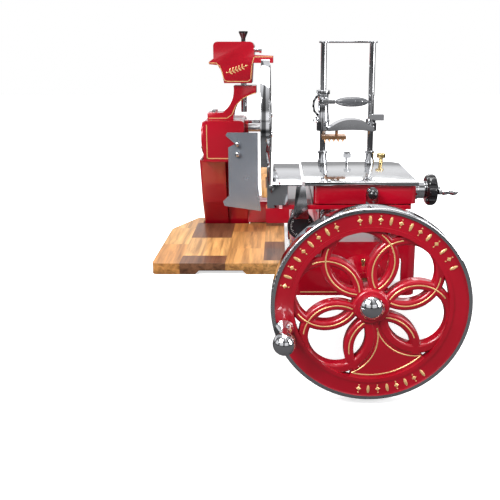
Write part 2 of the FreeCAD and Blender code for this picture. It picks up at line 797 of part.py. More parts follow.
def rail_brackets():
    brackets = []
    for x in rail_x:
        for y in (base_front + rail_end_inset - 10, base_back - rail_end_inset - 8):
            post = box(x - 14, x + 14, y, y + 18, base_height, rail_height)
            cap = rod("y", (x, y, rail_height), 14, 18)
            hole = rod("y", (x, y - 1, rail_height), rail_radius, 20)
            brackets.append(fuse([post, cap]).cut(hole))
    return Part.makeCompound(brackets)


def table_body():
    """Cast box under the table, open below so that the feed nut can stand inside it."""
    outer = rounded(box(carriage_left, carriage_right, carriage_front, carriage_back,
                        carriage_bottom, carriage_top), "z", 10)
    inner = box(carriage_left + carriage_wall, carriage_right - carriage_wall,
                carriage_front + carriage_wall, carriage_back - carriage_wall,
                carriage_bottom - 1, carriage_top - carriage_wall)
    screw_hole = rod("x", (carriage_right - 8, screw_y, screw_z), screw_radius + 3, 10)
    strips = [box(carriage_left + 20, carriage_right - 4, y, y + 12, carriage_top, table_bottom)
              for y in (carriage_front + 10, carriage_back - 22)]
    return fuse([outer.cut(inner).cut(screw_hole)] + strips)


def carriage_bearing_places():
    return (base_front + rail_end_inset + 14, carriage_back - 36)


def lower_carriage():
    """Plate that runs on the rails, with the wall that carries the apron beside the knife."""
    front = carriage_front - gap
    plate = rounded(box(slide_left, slide_right, front, carriage_back, slide_bottom, slide_top),
                    "z", 6)
    wall = box(slide_left, slide_left + 10, front + 6, carriage_back - 6, slide_top,
               carriage_top + gap)
    return fuse([plate, wall])


def carriage_bearings():
    """Four slide blocks under the carriage, bored for the rails."""
    blocks = []
    for x in rail_x:
        for y in carriage_bearing_places():
            block = box(x - 16, x + 16, y, y + 30, rail_height - 16, slide_bottom)
            block = rounded(block, "y", 5, lambda p: p.z < rail_height)
            blocks.append(block.cut(rod("y", (x, y - 1, rail_height),
                                        rail_radius + running_clearance, 32)))
    return Part.makeCompound(blocks)


def apron_plate():
    """Fixed polished plate beside the knife, turned down at its front."""
    low = carriage_top + gap
    top = box(apron_left, apron_right, table_front, table_back, low, low + apron_thickness)
    front = box(apron_left, slide_left + 10, table_front, carriage_front - gap, slide_bottom + 8, low)
    return fuse([top, front])


def feed_nut():
    """Bronze nut that stands on the lower carriage, inside the table's box."""
    x = 24.0
    block = box(x, x + 36, screw_y - 11, screw_y + 11, slide_top, carriage_top - carriage_wall - 1)
    block = rounded(block, "x", 4, lambda p: p.z > screw_z)
    return block.cut(rod("x", (x - 1, screw_y, screw_z), screw_radius + running_clearance, 38))


def table_plate():
    top = box(table_left, table_right, table_front, table_back, table_bottom, table_top)
    lip = box(table_left, table_right, table_front - 2, table_front, table_bottom - 3, table_top)
    whole = fuse([top, lip])
    corner = prism([(table_right - 16, table_back + 1, table_bottom - 1),
                    (table_right + 1, table_back + 1, table_bottom - 1),
                    (table_right + 1, table_back - 20, table_bottom - 1)], (0, 0, 20))
    return whole.cut(corner)


def feed_screw():
    """Feed screw with a cut thread shown as closely spaced grooves."""
    length = carriage_right + 26 - (carriage_left + 8)
    screw = rod("x", (carriage_left + 8, screw_y, screw_z), screw_radius, length)
    grooves = []
    pitch = 5.0
    count = int((carriage_right - 16 - (carriage_left + 12)) / pitch)
    for i in range(count):
        x = carriage_left + 12 + i * pitch
        grooves.append(tube("x", (x, screw_y, screw_z), screw_radius + 1, screw_radius - 1.2, 2))
    return screw.cut(Part.makeCompound(grooves))


def screw_end_bearing():
    left = tube("x", (carriage_left + 6, screw_y, screw_z), 9, screw_radius + running_clearance, 10)
    web = box(carriage_left + 6, carriage_left + 16, screw_y - 9, screw_y + 9, screw_z,
              carriage_top - carriage_wall)
    web = web.cut(rod("x", (carriage_left, screw_y, screw_z), 8.9, 30))
    return fuse([left, web])


def feed_collar():
    outer = rod("x", (carriage_right, screw_y, screw_z), screw_z - slide_top - gap, 10)
    step = rod("x", (carriage_right + 10, screw_y, screw_z), 16, 14)
    ring = outer.fuse(step).cut(rod("x", (carriage_right - 1, screw_y, screw_z),
                                    screw_radius + running_clearance, 30))
    return ring.removeSplitter()


def feed_handwheel():
    x = carriage_right + 24 + gap
    disc = rod("x", (x, screw_y, screw_z), handwheel_radius, 20)
    edge = [e for e in disc.Edges if e.Curve.TypeId == "Part::GeomCircle"]
    disc = disc.makeFillet(8.0, edge)
    bites = []
    for i in range(8):
        angle = math.radians(45 * i + 22.5)
        bites.append(rod("x", (x - 1, screw_y + (handwheel_radius + 4.5) * math.cos(angle),
                               screw_z + (handwheel_radius + 4.5) * math.sin(angle)), 7.5, 22))
    return cut_all(disc, bites + [rod("x", (x - 1, screw_y, screw_z), screw_radius, 30)])


def crank_arm():
    x = carriage_right + 44 + gap
    hub = rod("x", (x, screw_y, screw_z), 9, 7)
    arm = box(x + 1, x + 6, screw_y - 22, screw_y, screw_z - 4, screw_z + 4)
    eye = rod("x", (x + 1, screw_y - 22, screw_z), 5, 5)
    pin = rod("x", (x + 6, screw_y - 22, screw_z), 2.5, 30)
    return fuse([hub, arm, eye, pin])


def crank_grip():
    x = carriage_right + 50 + gap + 1
    profile = [(0, 5), (3, 6.3), (12, 4.2), (20, 6.6), (27, 4.6)]
    grip = None
    for (x0, r0), (x1, r1) in zip(profile, profile[1:]):
        piece = cone("x", (x + x0, screw_y - 22, screw_z), r0, r1, x1 - x0)
        grip = piece if grip is None else grip.fuse(piece)
    return grip.cut(rod("x", (x - 1, screw_y - 22, screw_z), 2.5 + running_clearance, 40))


def release_tab():
    """Polished tab on the carriage's front for the half-nut release."""
    x, y = 24.0, carriage_front - gap
    tab = box(x - 11, x + 11, y - 4, y, slide_bottom, 213)
    crown = rod("y", (x, y - 4, 213), 11, 4)
    return fuse([tab, crown]).cut(rod("y", (x, y - 6, 213), 4 + running_clearance, 10))


def apron_stay():
    """Bright tapering stay from the apron's front down beside the thickness dial."""
    y = carriage_front - gap
    low, top = base_height + 59, carriage_top
    stay = prism([(-111, y, top), (-95, y, top), (-88, y, low), (-117, y, low)], (0, -4, 0))
    return rounded(stay, "y", 3, lambda p: p.z < low + 1)


def release_knob():
    x, y = 24.0, carriage_front - gap
    ball = Part.makeSphere(9.5, vec(x, y - 15, 213))
    pin = rod("y", (x, y - 14, 213), 4, 13.5)
    return fuse([ball, pin])


# ---------------------------------------------------------------- posts and clamp
def posts():
    return Part.makeCompound([rod("z", (x, post_y, table_top), post_radius, post_top - table_top)
                              for x in post_x])


def post_sockets():
    sockets = []
    for x in post_x:
        ring = tube("z", (x, post_y, table_top), 9.5, post_radius, 6)
        waist = tube("z", (x, post_y, table_top + 6), 8, post_radius, 14)
        upper = tube("z", (x, post_y, table_top + 20), 9.5, post_radius, 4)
        sockets.append(fuse([ring, waist, upper]))
    return Part.makeCompound(sockets)


def crossbar():
    bar = box(post_x[0], post_x[1], post_y - 3, post_y + 3, post_top, post_top + 4)
    caps = [rod("z", (x, post_y, post_top), 9.5, 4) for x in post_x]
    return fuse([bar] + caps)


def clamp_sleeve():
    """Sleeve on the left post, with an ear for the grip's pivot."""
    x = post_x[0]
    body = rod("z", (x, post_y, clamp_bottom), 11, clamp_height)
    flare = cone("z", (x, post_y, clamp_bottom), 14, 11, 20)
    crown = rod("z", (x, post_y, clamp_bottom + clamp_height - 8), 13.5, 8)
    ear = box(x - 8, x + 8, post_y - 24, post_y - 8, clamp_bottom + 36, clamp_bottom + 50)
    ear_gap = box(x - 3 - gap, x + 3 + gap, post_y - 26, post_y - 12.5, clamp_bottom + 30,
                  clamp_bottom + 56)
    whole = fuse([body, flare, crown, ear]).cut(ear_gap)
    pin_hole = rod("x", (x - 9, post_y - 18, clamp_bottom + 43), 2, 18)
    return whole.cut(rod("z", (x, post_y, clamp_bottom - 1), post_radius + running_clearance,
                         clamp_height + 2)).cut(pin_hole)


def clamp_pin():
    return rod("x", (post_x[0] - 8, post_y - 18, clamp_bottom + 43), 2, 16)


def clamp_lever():
    x = post_x[0]
    blade_bar = box(x - 3, x + 3, post_y - 40, post_y - 14, clamp_bottom + 38, clamp_bottom + 48)
    tail = box(x - 3, x + 22, post_y - 40, post_y - 34, clamp_bottom + 39, clamp_bottom + 47)
    return fuse([blade_bar, tail]).cut(rod("x", (x - 5, post_y - 18, clamp_bottom + 43),
                                           2 + running_clearance, 10))


def clamp_grip():
    x = post_x[0] + 22
    centre = vec(x + 33, post_y - 37, clamp_bottom + 43)
    grip = Part.makeSphere(10)
    matrix = FreeCAD.Matrix()
    matrix.scale(3.3, 0.9, 1.0)
    grip = grip.transformGeometry(matrix)
    grip.translate(centre)
    return grip.common(box(x, x + 80, post_y - 60, post_y, clamp_bottom, clamp_bottom + 90))


def press_plate():
    """Arched plate between the sleeve and the guide on the right post."""
    x0, x1 = post_x[0] + 8, post_x[1] + 2
    crown = 12.0
    low = clamp_bottom - 14

    def arc(z, inset):
        return Part.Arc(vec(x0, 0, z), vec((x0 + x1) / 2, 0, z + crown + inset), vec(x1, 0, z))

    lower, upper = arc(low, 8).toShape(), arc(low + 3, 8).toShape()
    wire = Part.Wire([lower, Part.makeLine(vec(x1, 0, low), vec(x1, 0, low + 3)), upper,
                      Part.makeLine(vec(x0, 0, low + 3), vec(x0, 0, low))])
    sheet = Part.Face(wire).extrude(vec(0, 44, 0))
    sheet.translate(vec(0, post_y - 52, 0))
    guide = rod("z", (post_x[1], post_y, low - 4), 12, 16)
    bridge = box(x1 - 8, x1 + 4, post_y - 14, post_y, low - 2, low + 6)
    left = rod("z", (post_x[0], post_y, low - 4), 13, 18)
    left_bridge = box(x0 - 8, x0 + 4, post_y - 14, post_y, low - 2, low + 5)
    skirt_wire = Part.Wire([arc(low - 0.5, -9).toShape(),
                            Part.makeLine(vec(x1, 0, low - 0.5), vec(x1, 0, low)),
                            arc(low, 8).toShape(),
                            Part.makeLine(vec(x0, 0, low), vec(x0, 0, low - 0.5))])
    skirt = Part.Face(skirt_wire).extrude(vec(0, 3, 0))
    skirt.translate(vec(0, post_y - 52, 0))
    block = box(x1 - 6, post_x[1] + 26, post_y - 9, post_y + 9, low + 17, low + 29)
    neck = rod("z", (post_x[1], post_y, low), 10, 20)
    whole = fuse([sheet, skirt, guide, bridge, left, left_bridge, block, neck])
    for x in post_x:
        whole = whole.cut(rod("z", (x, post_y, low - 20), post_radius + running_clearance, 60))
    return whole


def clamp_spikes():
    """Toothed foot under the press plate that bites the meat."""
    low = clamp_bottom - 14
    stem = rod("z", (post_x[0] + 26, post_y - 30, low - 12), 3, 20)
    foot = box(post_x[0] - 4, post_x[0] + 44, post_y - 48, post_y - 12, low - 17, low - 10)
    teeth = [cone("z", (post_x[0] + 2 + 9 * i, post_y - 43 + 13 * j, low - 23), 0.4, 2.5, 6.5)
             for i in range(5) for j in range(3)]
    return fuse([stem, foot] + teeth)


def fence_stud():
    stem = rod("z", (-1, table_back - 10, table_top), 3, 16)
    block = box(-8, 7, table_back - 14, table_back - 6, table_top + 10, table_top + 18)
    cap = rod("z", (-1, table_back - 10, table_top + 18), 6, 4)
    return fuse([stem, block, cap])


def fence_knob():
    stem = rod("z", (70, table_back - 10, table_top), 4, 10)
    head = rod("z", (70, table_back - 10, table_top + 10), 9, 9)
    return fuse([stem, head.makeFillet(2.5, head.Edges[:1])])


# ---------------------------------------------------------------- board
def cutting_board():
    """Board under the knife with a chamfered corner, a slot round the column and finger rests."""
    slot_left = case_left - board_gap
    slot_right = column_right + board_gap
    slot_front = cross_y - case_foot_radius - board_gap
    outline = [(board_left, board_front), (board_right, board_front), (board_right, board_back),
               (slot_right, board_back), (slot_right, slot_front), (slot_left, slot_front),
               (slot_left, board_back), (board_left + 52, board_back), (board_left, board_back - 120)]
    slab = prism([(x, y, 0) for x, y in outline], (0, 0, board_thickness))
    slab = rounded(slab, "z", 12, lambda p: p.y < board_front + 1)
    finger = prism([(board_left + 90, board_front - 1, -1), (board_left + 200, board_front - 1, -1),
                    (board_left + 190, board_front - 1, 9), (board_left + 100, board_front - 1, 9)],
                   (0, 26, 0))
    return slab.cut(finger)


# ---------------------------------------------------------------- write every piece
cross_gear, lower_idler, upper_idler, knife_gear = train_gears()
cover_screws = [(head_left - 7, blade_y + 30 * math.cos(a), blade_z - 24 + 30 * math.sin(a))
                for a in (math.pi / 4, 3 * math.pi / 4, 5 * math.pi / 4, 7 * math.pi / 4)]
pieces = {
    "base_casting": fuse([base_casting(), shaft_housing(), rear_hanger(), gauge_block()]),
    "shaft_bushes": Part.makeCompound([main_bearings(), cross_bearings(), blade_bearing()]),
    "column": column(),
    "gear_case": gear_case(),
    "drive_head": drive_head(),
    "head_cover": head_cover(),
    "head_screws": Part.makeCompound([screw_set(cover_screws, "x", 3.5, 2.5, -1), arm_screws()]),
    "idler_pins": idler_pins(),
    "blade_guard": fuse([blade_guard(), guard_bracket()]),
    "deflector_plate": deflector_plate(),
    "deflector_stays": deflector_stays(),
    "sharpener_arm": sharpener_arm(),
    "rails": rails(),
    "rail_brackets": rail_brackets(),
    "thickness_housing": thickness_housing(),
    "flywheel": flywheel(),
    "flywheel_tyre": flywheel_tyre(),
    "hub_cap": hub_cap(),
    "main_shaft": main_shaft(),
    "main_bevel_gear": main_bevel(),
    "handle_pin": handle_pin(),
    "handle_grip": handle_grip(),
    "cross_shaft": cross_shaft(),
    "cross_bevel_gear": cross_bevel(),
    "cross_gear": cross_gear,
    "lower_idler_gear": lower_idler,
    "upper_idler_gear": upper_idler,
    "blade_shaft": blade_shaft(),
    "blade_gear": knife_gear,
    "blade": blade(),
    "blade_hub": Part.makeCompound([blade_hub(), blade_screws()]),
    "gauge_plate": gauge_plate(),
    "thickness_knob": thickness_knob(),
    "sharpener_housing": sharpener_housing(),
    "sharpener_rod": sharpener_rod(),
    "sharpener_knob": sharpener_knob(),
    "sharpener_pins": Part.makeCompound([stone_button(), stone_pins()]),
    "grinding_stones": grinding_stones(),
    "table_body": table_body(),
    "lower_carriage": lower_carriage(),
    "carriage_bearings": carriage_bearings(),
    "apron_plate": apron_plate(),
    "feed_bearings": Part.makeCompound([feed_collar(), screw_end_bearing()]),
    "feed_screw": feed_screw(),
    "feed_handwheel": feed_handwheel(),
    "crank_arm": crank_arm(),
    "crank_grip": crank_grip(),
    "table_plate": table_plate(),
    "feed_nut": feed_nut(),
    "release_tab": Part.makeCompound([release_tab(), apron_stay()]),
    "release_knob": release_knob(),
    "posts": Part.makeCompound([posts(), post_sockets(), fence_stud()]),
    "crossbar": crossbar(),
    "clamp_sleeve": clamp_sleeve(),
    "clamp_lever": fuse([clamp_lever(), clamp_pin()]),
    "clamp_grip": clamp_grip(),
    "press_plate": press_plate(),
    "clamp_spikes": clamp_spikes(),
    "fence_knob": fence_knob(),
    "cutting_board": cutting_board(),
}
for name, shape in pieces.items():
    save(name, shape)
print(len(pieces), "nodes")
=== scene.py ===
# %% [markdown]
# A hand-turned slicer in red enamel, chrome and oiled wood.
# The engineering model already holds every piece at its real size, so this script starts from it:
# it gives each piece smooth shading and a finish, then adds the trim that is too fine for machining.

# %% Load the fixed frame
import json
import math
from math import radians

import bmesh
import bpy
from mathutils import Matrix, Vector


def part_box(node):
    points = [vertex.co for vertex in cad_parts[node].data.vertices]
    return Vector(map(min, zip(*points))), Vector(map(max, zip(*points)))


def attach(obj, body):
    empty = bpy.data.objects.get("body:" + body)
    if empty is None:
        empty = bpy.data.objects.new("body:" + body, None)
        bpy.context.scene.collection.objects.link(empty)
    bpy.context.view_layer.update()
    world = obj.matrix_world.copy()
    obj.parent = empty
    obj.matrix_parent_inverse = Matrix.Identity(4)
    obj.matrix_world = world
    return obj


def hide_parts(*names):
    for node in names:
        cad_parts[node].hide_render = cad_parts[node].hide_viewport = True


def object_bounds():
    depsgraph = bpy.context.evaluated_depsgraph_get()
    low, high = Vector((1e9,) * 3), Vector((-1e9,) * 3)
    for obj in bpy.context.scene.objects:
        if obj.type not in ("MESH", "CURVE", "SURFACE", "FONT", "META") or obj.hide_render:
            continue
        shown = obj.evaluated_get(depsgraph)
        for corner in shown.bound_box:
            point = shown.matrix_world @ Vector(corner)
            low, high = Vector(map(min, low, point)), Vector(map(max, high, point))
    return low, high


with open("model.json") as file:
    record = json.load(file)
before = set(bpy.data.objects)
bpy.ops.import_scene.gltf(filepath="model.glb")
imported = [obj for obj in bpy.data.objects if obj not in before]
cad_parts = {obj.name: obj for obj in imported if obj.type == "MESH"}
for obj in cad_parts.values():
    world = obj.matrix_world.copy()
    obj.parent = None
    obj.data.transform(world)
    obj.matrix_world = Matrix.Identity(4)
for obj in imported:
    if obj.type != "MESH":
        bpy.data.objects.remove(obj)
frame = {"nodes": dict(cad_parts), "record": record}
cad_box = [list(corner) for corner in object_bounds()]
MM = 0.001
SLOTS = {part["node"]: part["material_slot"] for part in frame["record"]["subparts"]}
BODY_OF = {node: body for body, nodes in frame["record"]["behaviour"]["bodies"].items()
           for node in nodes}
print("pieces in the frame:", len(SLOTS))

# %% [markdown]
# Most finishes share three effects: faint smudges that change how sharp a reflection is, the fine
# parallel lines that a belt leaves on steel, and the soft unevenness of thick paint.
# Each is a node group with its own inputs, built once, so every finish sets its own amounts.


# %% A small kit for node groups
def new_group(name, inputs, outputs):
    """An empty node group with named number inputs and outputs of a given kind."""
    group = bpy.data.node_groups.new(name, "ShaderNodeTree")
    for label, value in inputs:
        socket = group.interface.new_socket(label, in_out="INPUT", socket_type="NodeSocketFloat")
        socket.default_value = value
    for label, kind in outputs:
        group.interface.new_socket(label, in_out="OUTPUT", socket_type=kind)
    return group, group.nodes.new("NodeGroupInput"), group.nodes.new("NodeGroupOutput")


def node(tree, kind, **settings):
    made = tree.nodes.new(kind)
    for key, value in settings.items():
        setattr(made, key, value)
    return made


def math_node(tree, operation, first, second=0.0):
    made = node(tree, "ShaderNodeMath", operation=operation)
    for socket, value in zip(made.inputs, (first, second)):
        if isinstance(value, (int, float)):
            socket.default_value = value
        else:
            tree.links.new(value, socket)
    return made.outputs[0]


# %% Smudges: noise that moves roughness between two values
def smudge_group():
    group, given, out = new_group("handling smudges", [("Scale", 9.0), ("Low", 0.05), ("High", 0.15)],
                                  [("Roughness", "NodeSocketFloat")])
    place = node(group, "ShaderNodeTexCoord")
    noise = node(group, "ShaderNodeTexNoise")
    noise.inputs["Detail"].default_value = 3.0
    spread = node(group, "ShaderNodeMapRange")
    spread.inputs["From Min"].default_value = 0.35
    spread.inputs["From Max"].default_value = 0.70
    group.links.new(place.outputs["Object"], noise.inputs["Vector"])
    group.links.new(given.outputs["Scale"], noise.inputs["Scale"])
    group.links.new(noise.outputs["Fac"], spread.inputs["Value"])
    group.links.new(given.outputs["Low"], spread.inputs["To Min"])
    group.links.new(given.outputs["High"], spread.inputs["To Max"])
    group.links.new(spread.outputs["Result"], out.inputs["Roughness"])
    return group


# %% Belt lines: noise squeezed hard across one direction
def belt_group():
    group, given, out = new_group("belt lines", [("Along X", 1.0), ("Along Y", 1.0), ("Along Z", 1.0)],
                                  [("Height", "NodeSocketFloat")])
    place = node(group, "ShaderNodeTexCoord")
    amounts = node(group, "ShaderNodeCombineXYZ")
    stretch = node(group, "ShaderNodeVectorMath", operation="MULTIPLY")
    noise = node(group, "ShaderNodeTexNoise")
    noise.inputs["Scale"].default_value = 1.0
    noise.inputs["Detail"].default_value = 4.0
    for label, socket in zip(("Along X", "Along Y", "Along Z"), amounts.inputs):
        group.links.new(given.outputs[label], socket)
    group.links.new(place.outputs["Object"], stretch.inputs[0])
    group.links.new(amounts.outputs[0], stretch.inputs[1])
    group.links.new(stretch.outputs[0], noise.inputs["Vector"])
    group.links.new(noise.outputs["Fac"], out.inputs["Height"])
    return group


# %% Paint flow: long soft waves under a thick gloss coat
def flow_group():
    group, given, out = new_group("paint flow", [("Scale", 60.0)], [("Height", "NodeSocketFloat"),
                                                                    ("Tone", "NodeSocketFloat")])
    place = node(group, "ShaderNodeTexCoord")
    fine = node(group, "ShaderNodeTexNoise")
    broad = node(group, "ShaderNodeTexNoise")
    broad.inputs["Scale"].default_value = 7.0
    for noise in (fine, broad):
        noise.inputs["Detail"].default_value = 2.0
        group.links.new(place.outputs["Object"], noise.inputs["Vector"])
    group.links.new(given.outputs["Scale"], fine.inputs["Scale"])
    group.links.new(fine.outputs["Fac"], out.inputs["Height"])
    group.links.new(broad.outputs["Fac"], out.inputs["Tone"])
    return group


SMUDGES, BELT_LINES, PAINT_FLOW = smudge_group(), belt_group(), flow_group()
print("shared effects:", SMUDGES.name, BELT_LINES.name, PAINT_FLOW.name)

# %% [markdown]
# A finish is one material. The plain numbers sit on the shader's own sockets, and only what changes
# over the surface is wired: roughness from smudges, a little bump from lines or flow.


# %% Start a finish with its plain numbers
def finish(name, color, metallic=0.0, roughness=0.3, coat=0.0, ior=1.5):
    material = bpy.data.materials.new(name)
    material.use_nodes = True
    shader = material.node_tree.nodes["Principled BSDF"]
    shader.inputs["Base Color"].default_value = (*color, 1.0)
    shader.inputs["Metallic"].default_value = metallic
    shader.inputs["Roughness"].default_value = roughness
    shader.inputs["Coat Weight"].default_value = coat
    shader.inputs["Coat Roughness"].default_value = 0.03
    shader.inputs["IOR"].default_value = ior
    material.diffuse_color = (*color, 1.0)
    return material, material.node_tree, shader


def add_smudges(tree, shader, scale, low, high):
    group = node(tree, "ShaderNodeGroup", node_tree=SMUDGES)
    for label, value in (("Scale", scale), ("Low", low), ("High", high)):
        group.inputs[label].default_value = value
    tree.links.new(group.outputs["Roughness"], shader.inputs["Roughness"])


def add_bump(tree, shader, height, strength, distance):
    bump = node(tree, "ShaderNodeBump")
    bump.inputs["Strength"].default_value = strength
    bump.inputs["Distance"].default_value = distance
    tree.links.new(height, bump.inputs["Height"])
    tree.links.new(bump.outputs["Normal"], shader.inputs["Normal"])


# %% Bright metals: chrome, polished and machined steel, bronze, brass
def chrome():
    material, tree, shader = finish("chrome plate", (0.80, 0.81, 0.83), 1.0, 0.06)
    add_smudges(tree, shader, 14.0, 0.035, 0.11)
    return material


def belt_steel(name, color, stretch, low, high, strength):
    material, tree, shader = finish(name, color, 1.0, low)
    add_smudges(tree, shader, 11.0, low, high)
    group = node(tree, "ShaderNodeGroup", node_tree=BELT_LINES)
    for label, value in zip(("Along X", "Along Y", "Along Z"), stretch):
        group.inputs[label].default_value = value
    add_bump(tree, shader, group.outputs["Height"], strength, 0.0004)
    return material


def cast_alloy(name, color, low, high):
    material, tree, shader = finish(name, color, 1.0, low)
    add_smudges(tree, shader, 30.0, low, high)
    return material


# %% [markdown]
# The knife is ground while it spins, so its marks are circles round its own axis.
# The distance from that axis drives a noise texture, which gives rings of uneven width.


# %% Knife steel with ground rings
def knife_steel(centre):
    material, tree, shader = finish("ground knife steel", (0.78, 0.79, 0.81), 1.0, 0.14)
    place = node(tree, "ShaderNodeTexCoord")
    shift = node(tree, "ShaderNodeVectorMath", operation="SUBTRACT")
    shift.inputs[1].default_value = centre
    flat = node(tree, "ShaderNodeVectorMath", operation="MULTIPLY")
    flat.inputs[1].default_value = (0.0, 1.0, 1.0)
    reach = node(tree, "ShaderNodeVectorMath", operation="LENGTH")
    rings = node(tree, "ShaderNodeTexNoise", noise_dimensions="1D")
    rings.inputs["Scale"].default_value = 900.0
    rings.inputs["Detail"].default_value = 5.0
    spread = node(tree, "ShaderNodeMapRange")
    spread.inputs["To Min"].default_value = 0.08
    spread.inputs["To Max"].default_value = 0.26
    tree.links.new(place.outputs["Object"], shift.inputs[0])
    tree.links.new(shift.outputs[0], flat.inputs[0])
    tree.links.new(flat.outputs[0], reach.inputs[0])
    tree.links.new(reach.outputs["Value"], rings.inputs["W"])
    tree.links.new(rings.outputs["Fac"], spread.inputs["Value"])
    tree.links.new(spread.outputs["Result"], shader.inputs["Roughness"])
    add_bump(tree, shader, rings.outputs["Fac"], 0.25, 0.0002)
    return material


# %% [markdown]
# The castings are dipped in a deep red enamel and polished. A clear coat over a saturated base gives
# the wet look, and a broad noise moves the red a little darker and lighter, as thick paint does.


# %% Red enamel
def red_enamel():
    material, tree, shader = finish("deep red enamel", (0.50, 0.001, 0.014), 0.0, 0.30, coat=1.0)
    group = node(tree, "ShaderNodeGroup", node_tree=PAINT_FLOW)
    group.inputs["Scale"].default_value = 55.0
    tone = node(tree, "ShaderNodeValToRGB")
    tone.color_ramp.elements[0].position = 0.30
    tone.color_ramp.elements[0].color = (0.36, 0.0005, 0.010, 1.0)
    tone.color_ramp.elements[1].position = 0.72
    tone.color_ramp.elements[1].color = (0.50, 0.001, 0.018, 1.0)
    tree.links.new(group.outputs["Tone"], tone.inputs["Fac"])
    tree.links.new(tone.outputs["Color"], shader.inputs["Base Color"])
    add_bump(tree, shader, group.outputs["Height"], 0.05, 0.0006)
    return material


# %% [markdown]
# The board is glued up from honey-coloured strips, and in every second strip the blocks alternate
# between light and dark timber. Counting strips across and blocks along the board gives each block
# its own shade, and a noise stretched along the board gives the grain.


# %% Striped oiled wood
def striped_wood(left, strip_width, block_length):
    material, tree, shader = finish("oiled mixed timber", (0.42, 0.20, 0.08), 0.0, 0.42, coat=0.15)
    place = node(tree, "ShaderNodeTexCoord")
    parts = node(tree, "ShaderNodeSeparateXYZ")
    tree.links.new(place.outputs["Object"], parts.inputs[0])
    across = math_node(tree, "DIVIDE", math_node(tree, "SUBTRACT", parts.outputs["X"], left),
                       strip_width)
    sway = math_node(tree, "MULTIPLY", math_node(tree, "SINE", math_node(tree, "MULTIPLY", across, 1.7)),
                     0.22)
    strip = math_node(tree, "FLOOR", math_node(tree, "ADD", across, sway))
    block = math_node(tree, "FLOOR", math_node(tree, "ADD", math_node(tree, "MULTIPLY", strip, 0.618),
                                               math_node(tree, "DIVIDE", parts.outputs["Y"], block_length)))
    draw = node(tree, "ShaderNodeTexWhiteNoise", noise_dimensions="1D")
    mixed = math_node(tree, "ADD", strip, math_node(tree, "MULTIPLY", block, 17.0))
    parity = math_node(tree, "ABSOLUTE", math_node(tree, "MODULO", strip, 2.0))
    checker = math_node(tree, "ABSOLUTE", math_node(tree, "MODULO", block, 2.0))
    dark = math_node(tree, "MULTIPLY", parity, checker)
    tint = math_node(tree, "ADD", math_node(tree, "MULTIPLY", draw.outputs["Value"], 0.42),
                     math_node(tree, "MULTIPLY", dark, 0.44))
    tree.links.new(math_node(tree, "ADD", mixed, 4.37), draw.inputs["W"])
    timber = node(tree, "ShaderNodeValToRGB")
    timber.color_ramp.interpolation = "CONSTANT"
    shades = ((0.0, (0.66, 0.34, 0.11)), (0.14, (0.74, 0.41, 0.15)), (0.30, (0.58, 0.27, 0.08)),
              (0.44, (0.20, 0.09, 0.045)), (0.62, (0.28, 0.13, 0.06)), (0.80, (0.24, 0.10, 0.045)))
    timber.color_ramp.elements.remove(timber.color_ramp.elements[1])
    for index, (position, color) in enumerate(shades):
        stop = timber.color_ramp.elements[0] if index == 0 else timber.color_ramp.elements.new(position)
        stop.position = position
        stop.color = (*color, 1.0)
    tree.links.new(tint, timber.inputs["Fac"])
    along = node(tree, "ShaderNodeVectorMath", operation="MULTIPLY")
    along.inputs[1].default_value = (70.0, 4.5, 90.0)
    offset = node(tree, "ShaderNodeVectorMath", operation="ADD")
    spread = node(tree, "ShaderNodeCombineXYZ")
    tree.links.new(math_node(tree, "MULTIPLY", draw.outputs["Value"], 31.0), spread.inputs["Y"])
    tree.links.new(place.outputs["Object"], along.inputs[0])
    tree.links.new(along.outputs[0], offset.inputs[0])
    tree.links.new(spread.outputs[0], offset.inputs[1])
    grain = node(tree, "ShaderNodeTexNoise")
    grain.inputs["Scale"].default_value = 1.0
    grain.inputs["Detail"].default_value = 6.0
    grain.inputs["Roughness"].default_value = 0.62
    grain.inputs["Distortion"].default_value = 0.6
    tree.links.new(offset.outputs[0], grain.inputs["Vector"])
    shade = node(tree, "ShaderNodeValToRGB")
    shade.color_ramp.elements[0].position = 0.34
    shade.color_ramp.elements[0].color = (0.45, 0.40, 0.36, 1.0)
    shade.color_ramp.elements[1].position = 0.66
    shade.color_ramp.elements[1].color = (1.22, 1.18, 1.12, 1.0)
    tree.links.new(grain.outputs["Fac"], shade.inputs["Fac"])
    mix = node(tree, "ShaderNodeMix", data_type="RGBA", blend_type="MULTIPLY")
    mix.inputs["Factor"].default_value = 1.0
    tree.links.new(timber.outputs["Color"], mix.inputs["A"])
    tree.links.new(shade.outputs["Color"], mix.inputs["B"])
    tree.links.new(mix.outputs["Result"], shader.inputs["Base Color"])
    add_bump(tree, shader, grain.outputs["Fac"], 0.18, 0.0005)
    return material


# %% The finish of every slot in the record
blade_low, blade_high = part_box("blade")
board_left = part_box("cutting_board")[0].x
FINISHES = {
    "red_enamel": red_enamel(),
    "chrome": chrome(),
    "polished_steel": belt_steel("polished plate", (0.80, 0.81, 0.82), (6, 240, 240), 0.07, 0.17, 0.10),
    "machined_steel": belt_steel("machined steel", (0.62, 0.63, 0.64), (160, 160, 160), 0.2, 0.36, 0.1),
    "blade_steel": knife_steel((blade_low + blade_high) / 2),
    "bronze": cast_alloy("bearing bronze", (0.50, 0.27, 0.14), 0.25, 0.45),
    "brass": cast_alloy("polished brass", (0.83, 0.60, 0.27), 0.12, 0.28),
    "black_resin": finish("black resin", (0.012, 0.012, 0.013), 0.0, 0.16, coat=0.6)[0],
    "dark_knob": finish("dark dial", (0.02, 0.02, 0.023), 0.0, 0.24, coat=0.4)[0],
    "stone": cast_alloy("grinding stone", (0.60, 0.56, 0.50), 0.75, 0.95),
    "striped_wood": striped_wood(board_left, 74 * MM, 150 * MM),
}
OWN_FINISH = {
    # The grip's dark grey colour is a painted sheen: the black grip is lightened to stand in for the grey
    # reflection along it.
    "clamp_grip": finish("grip greyed for painted sheen", (0.085, 0.088, 0.095), 0.0, 0.34, coat=0.3)[0],
    "deflector_plate": belt_steel("pale blue plate", (0.62, 0.68, 0.77), (200, 6, 6), 0.16, 0.30, 0.06),
}
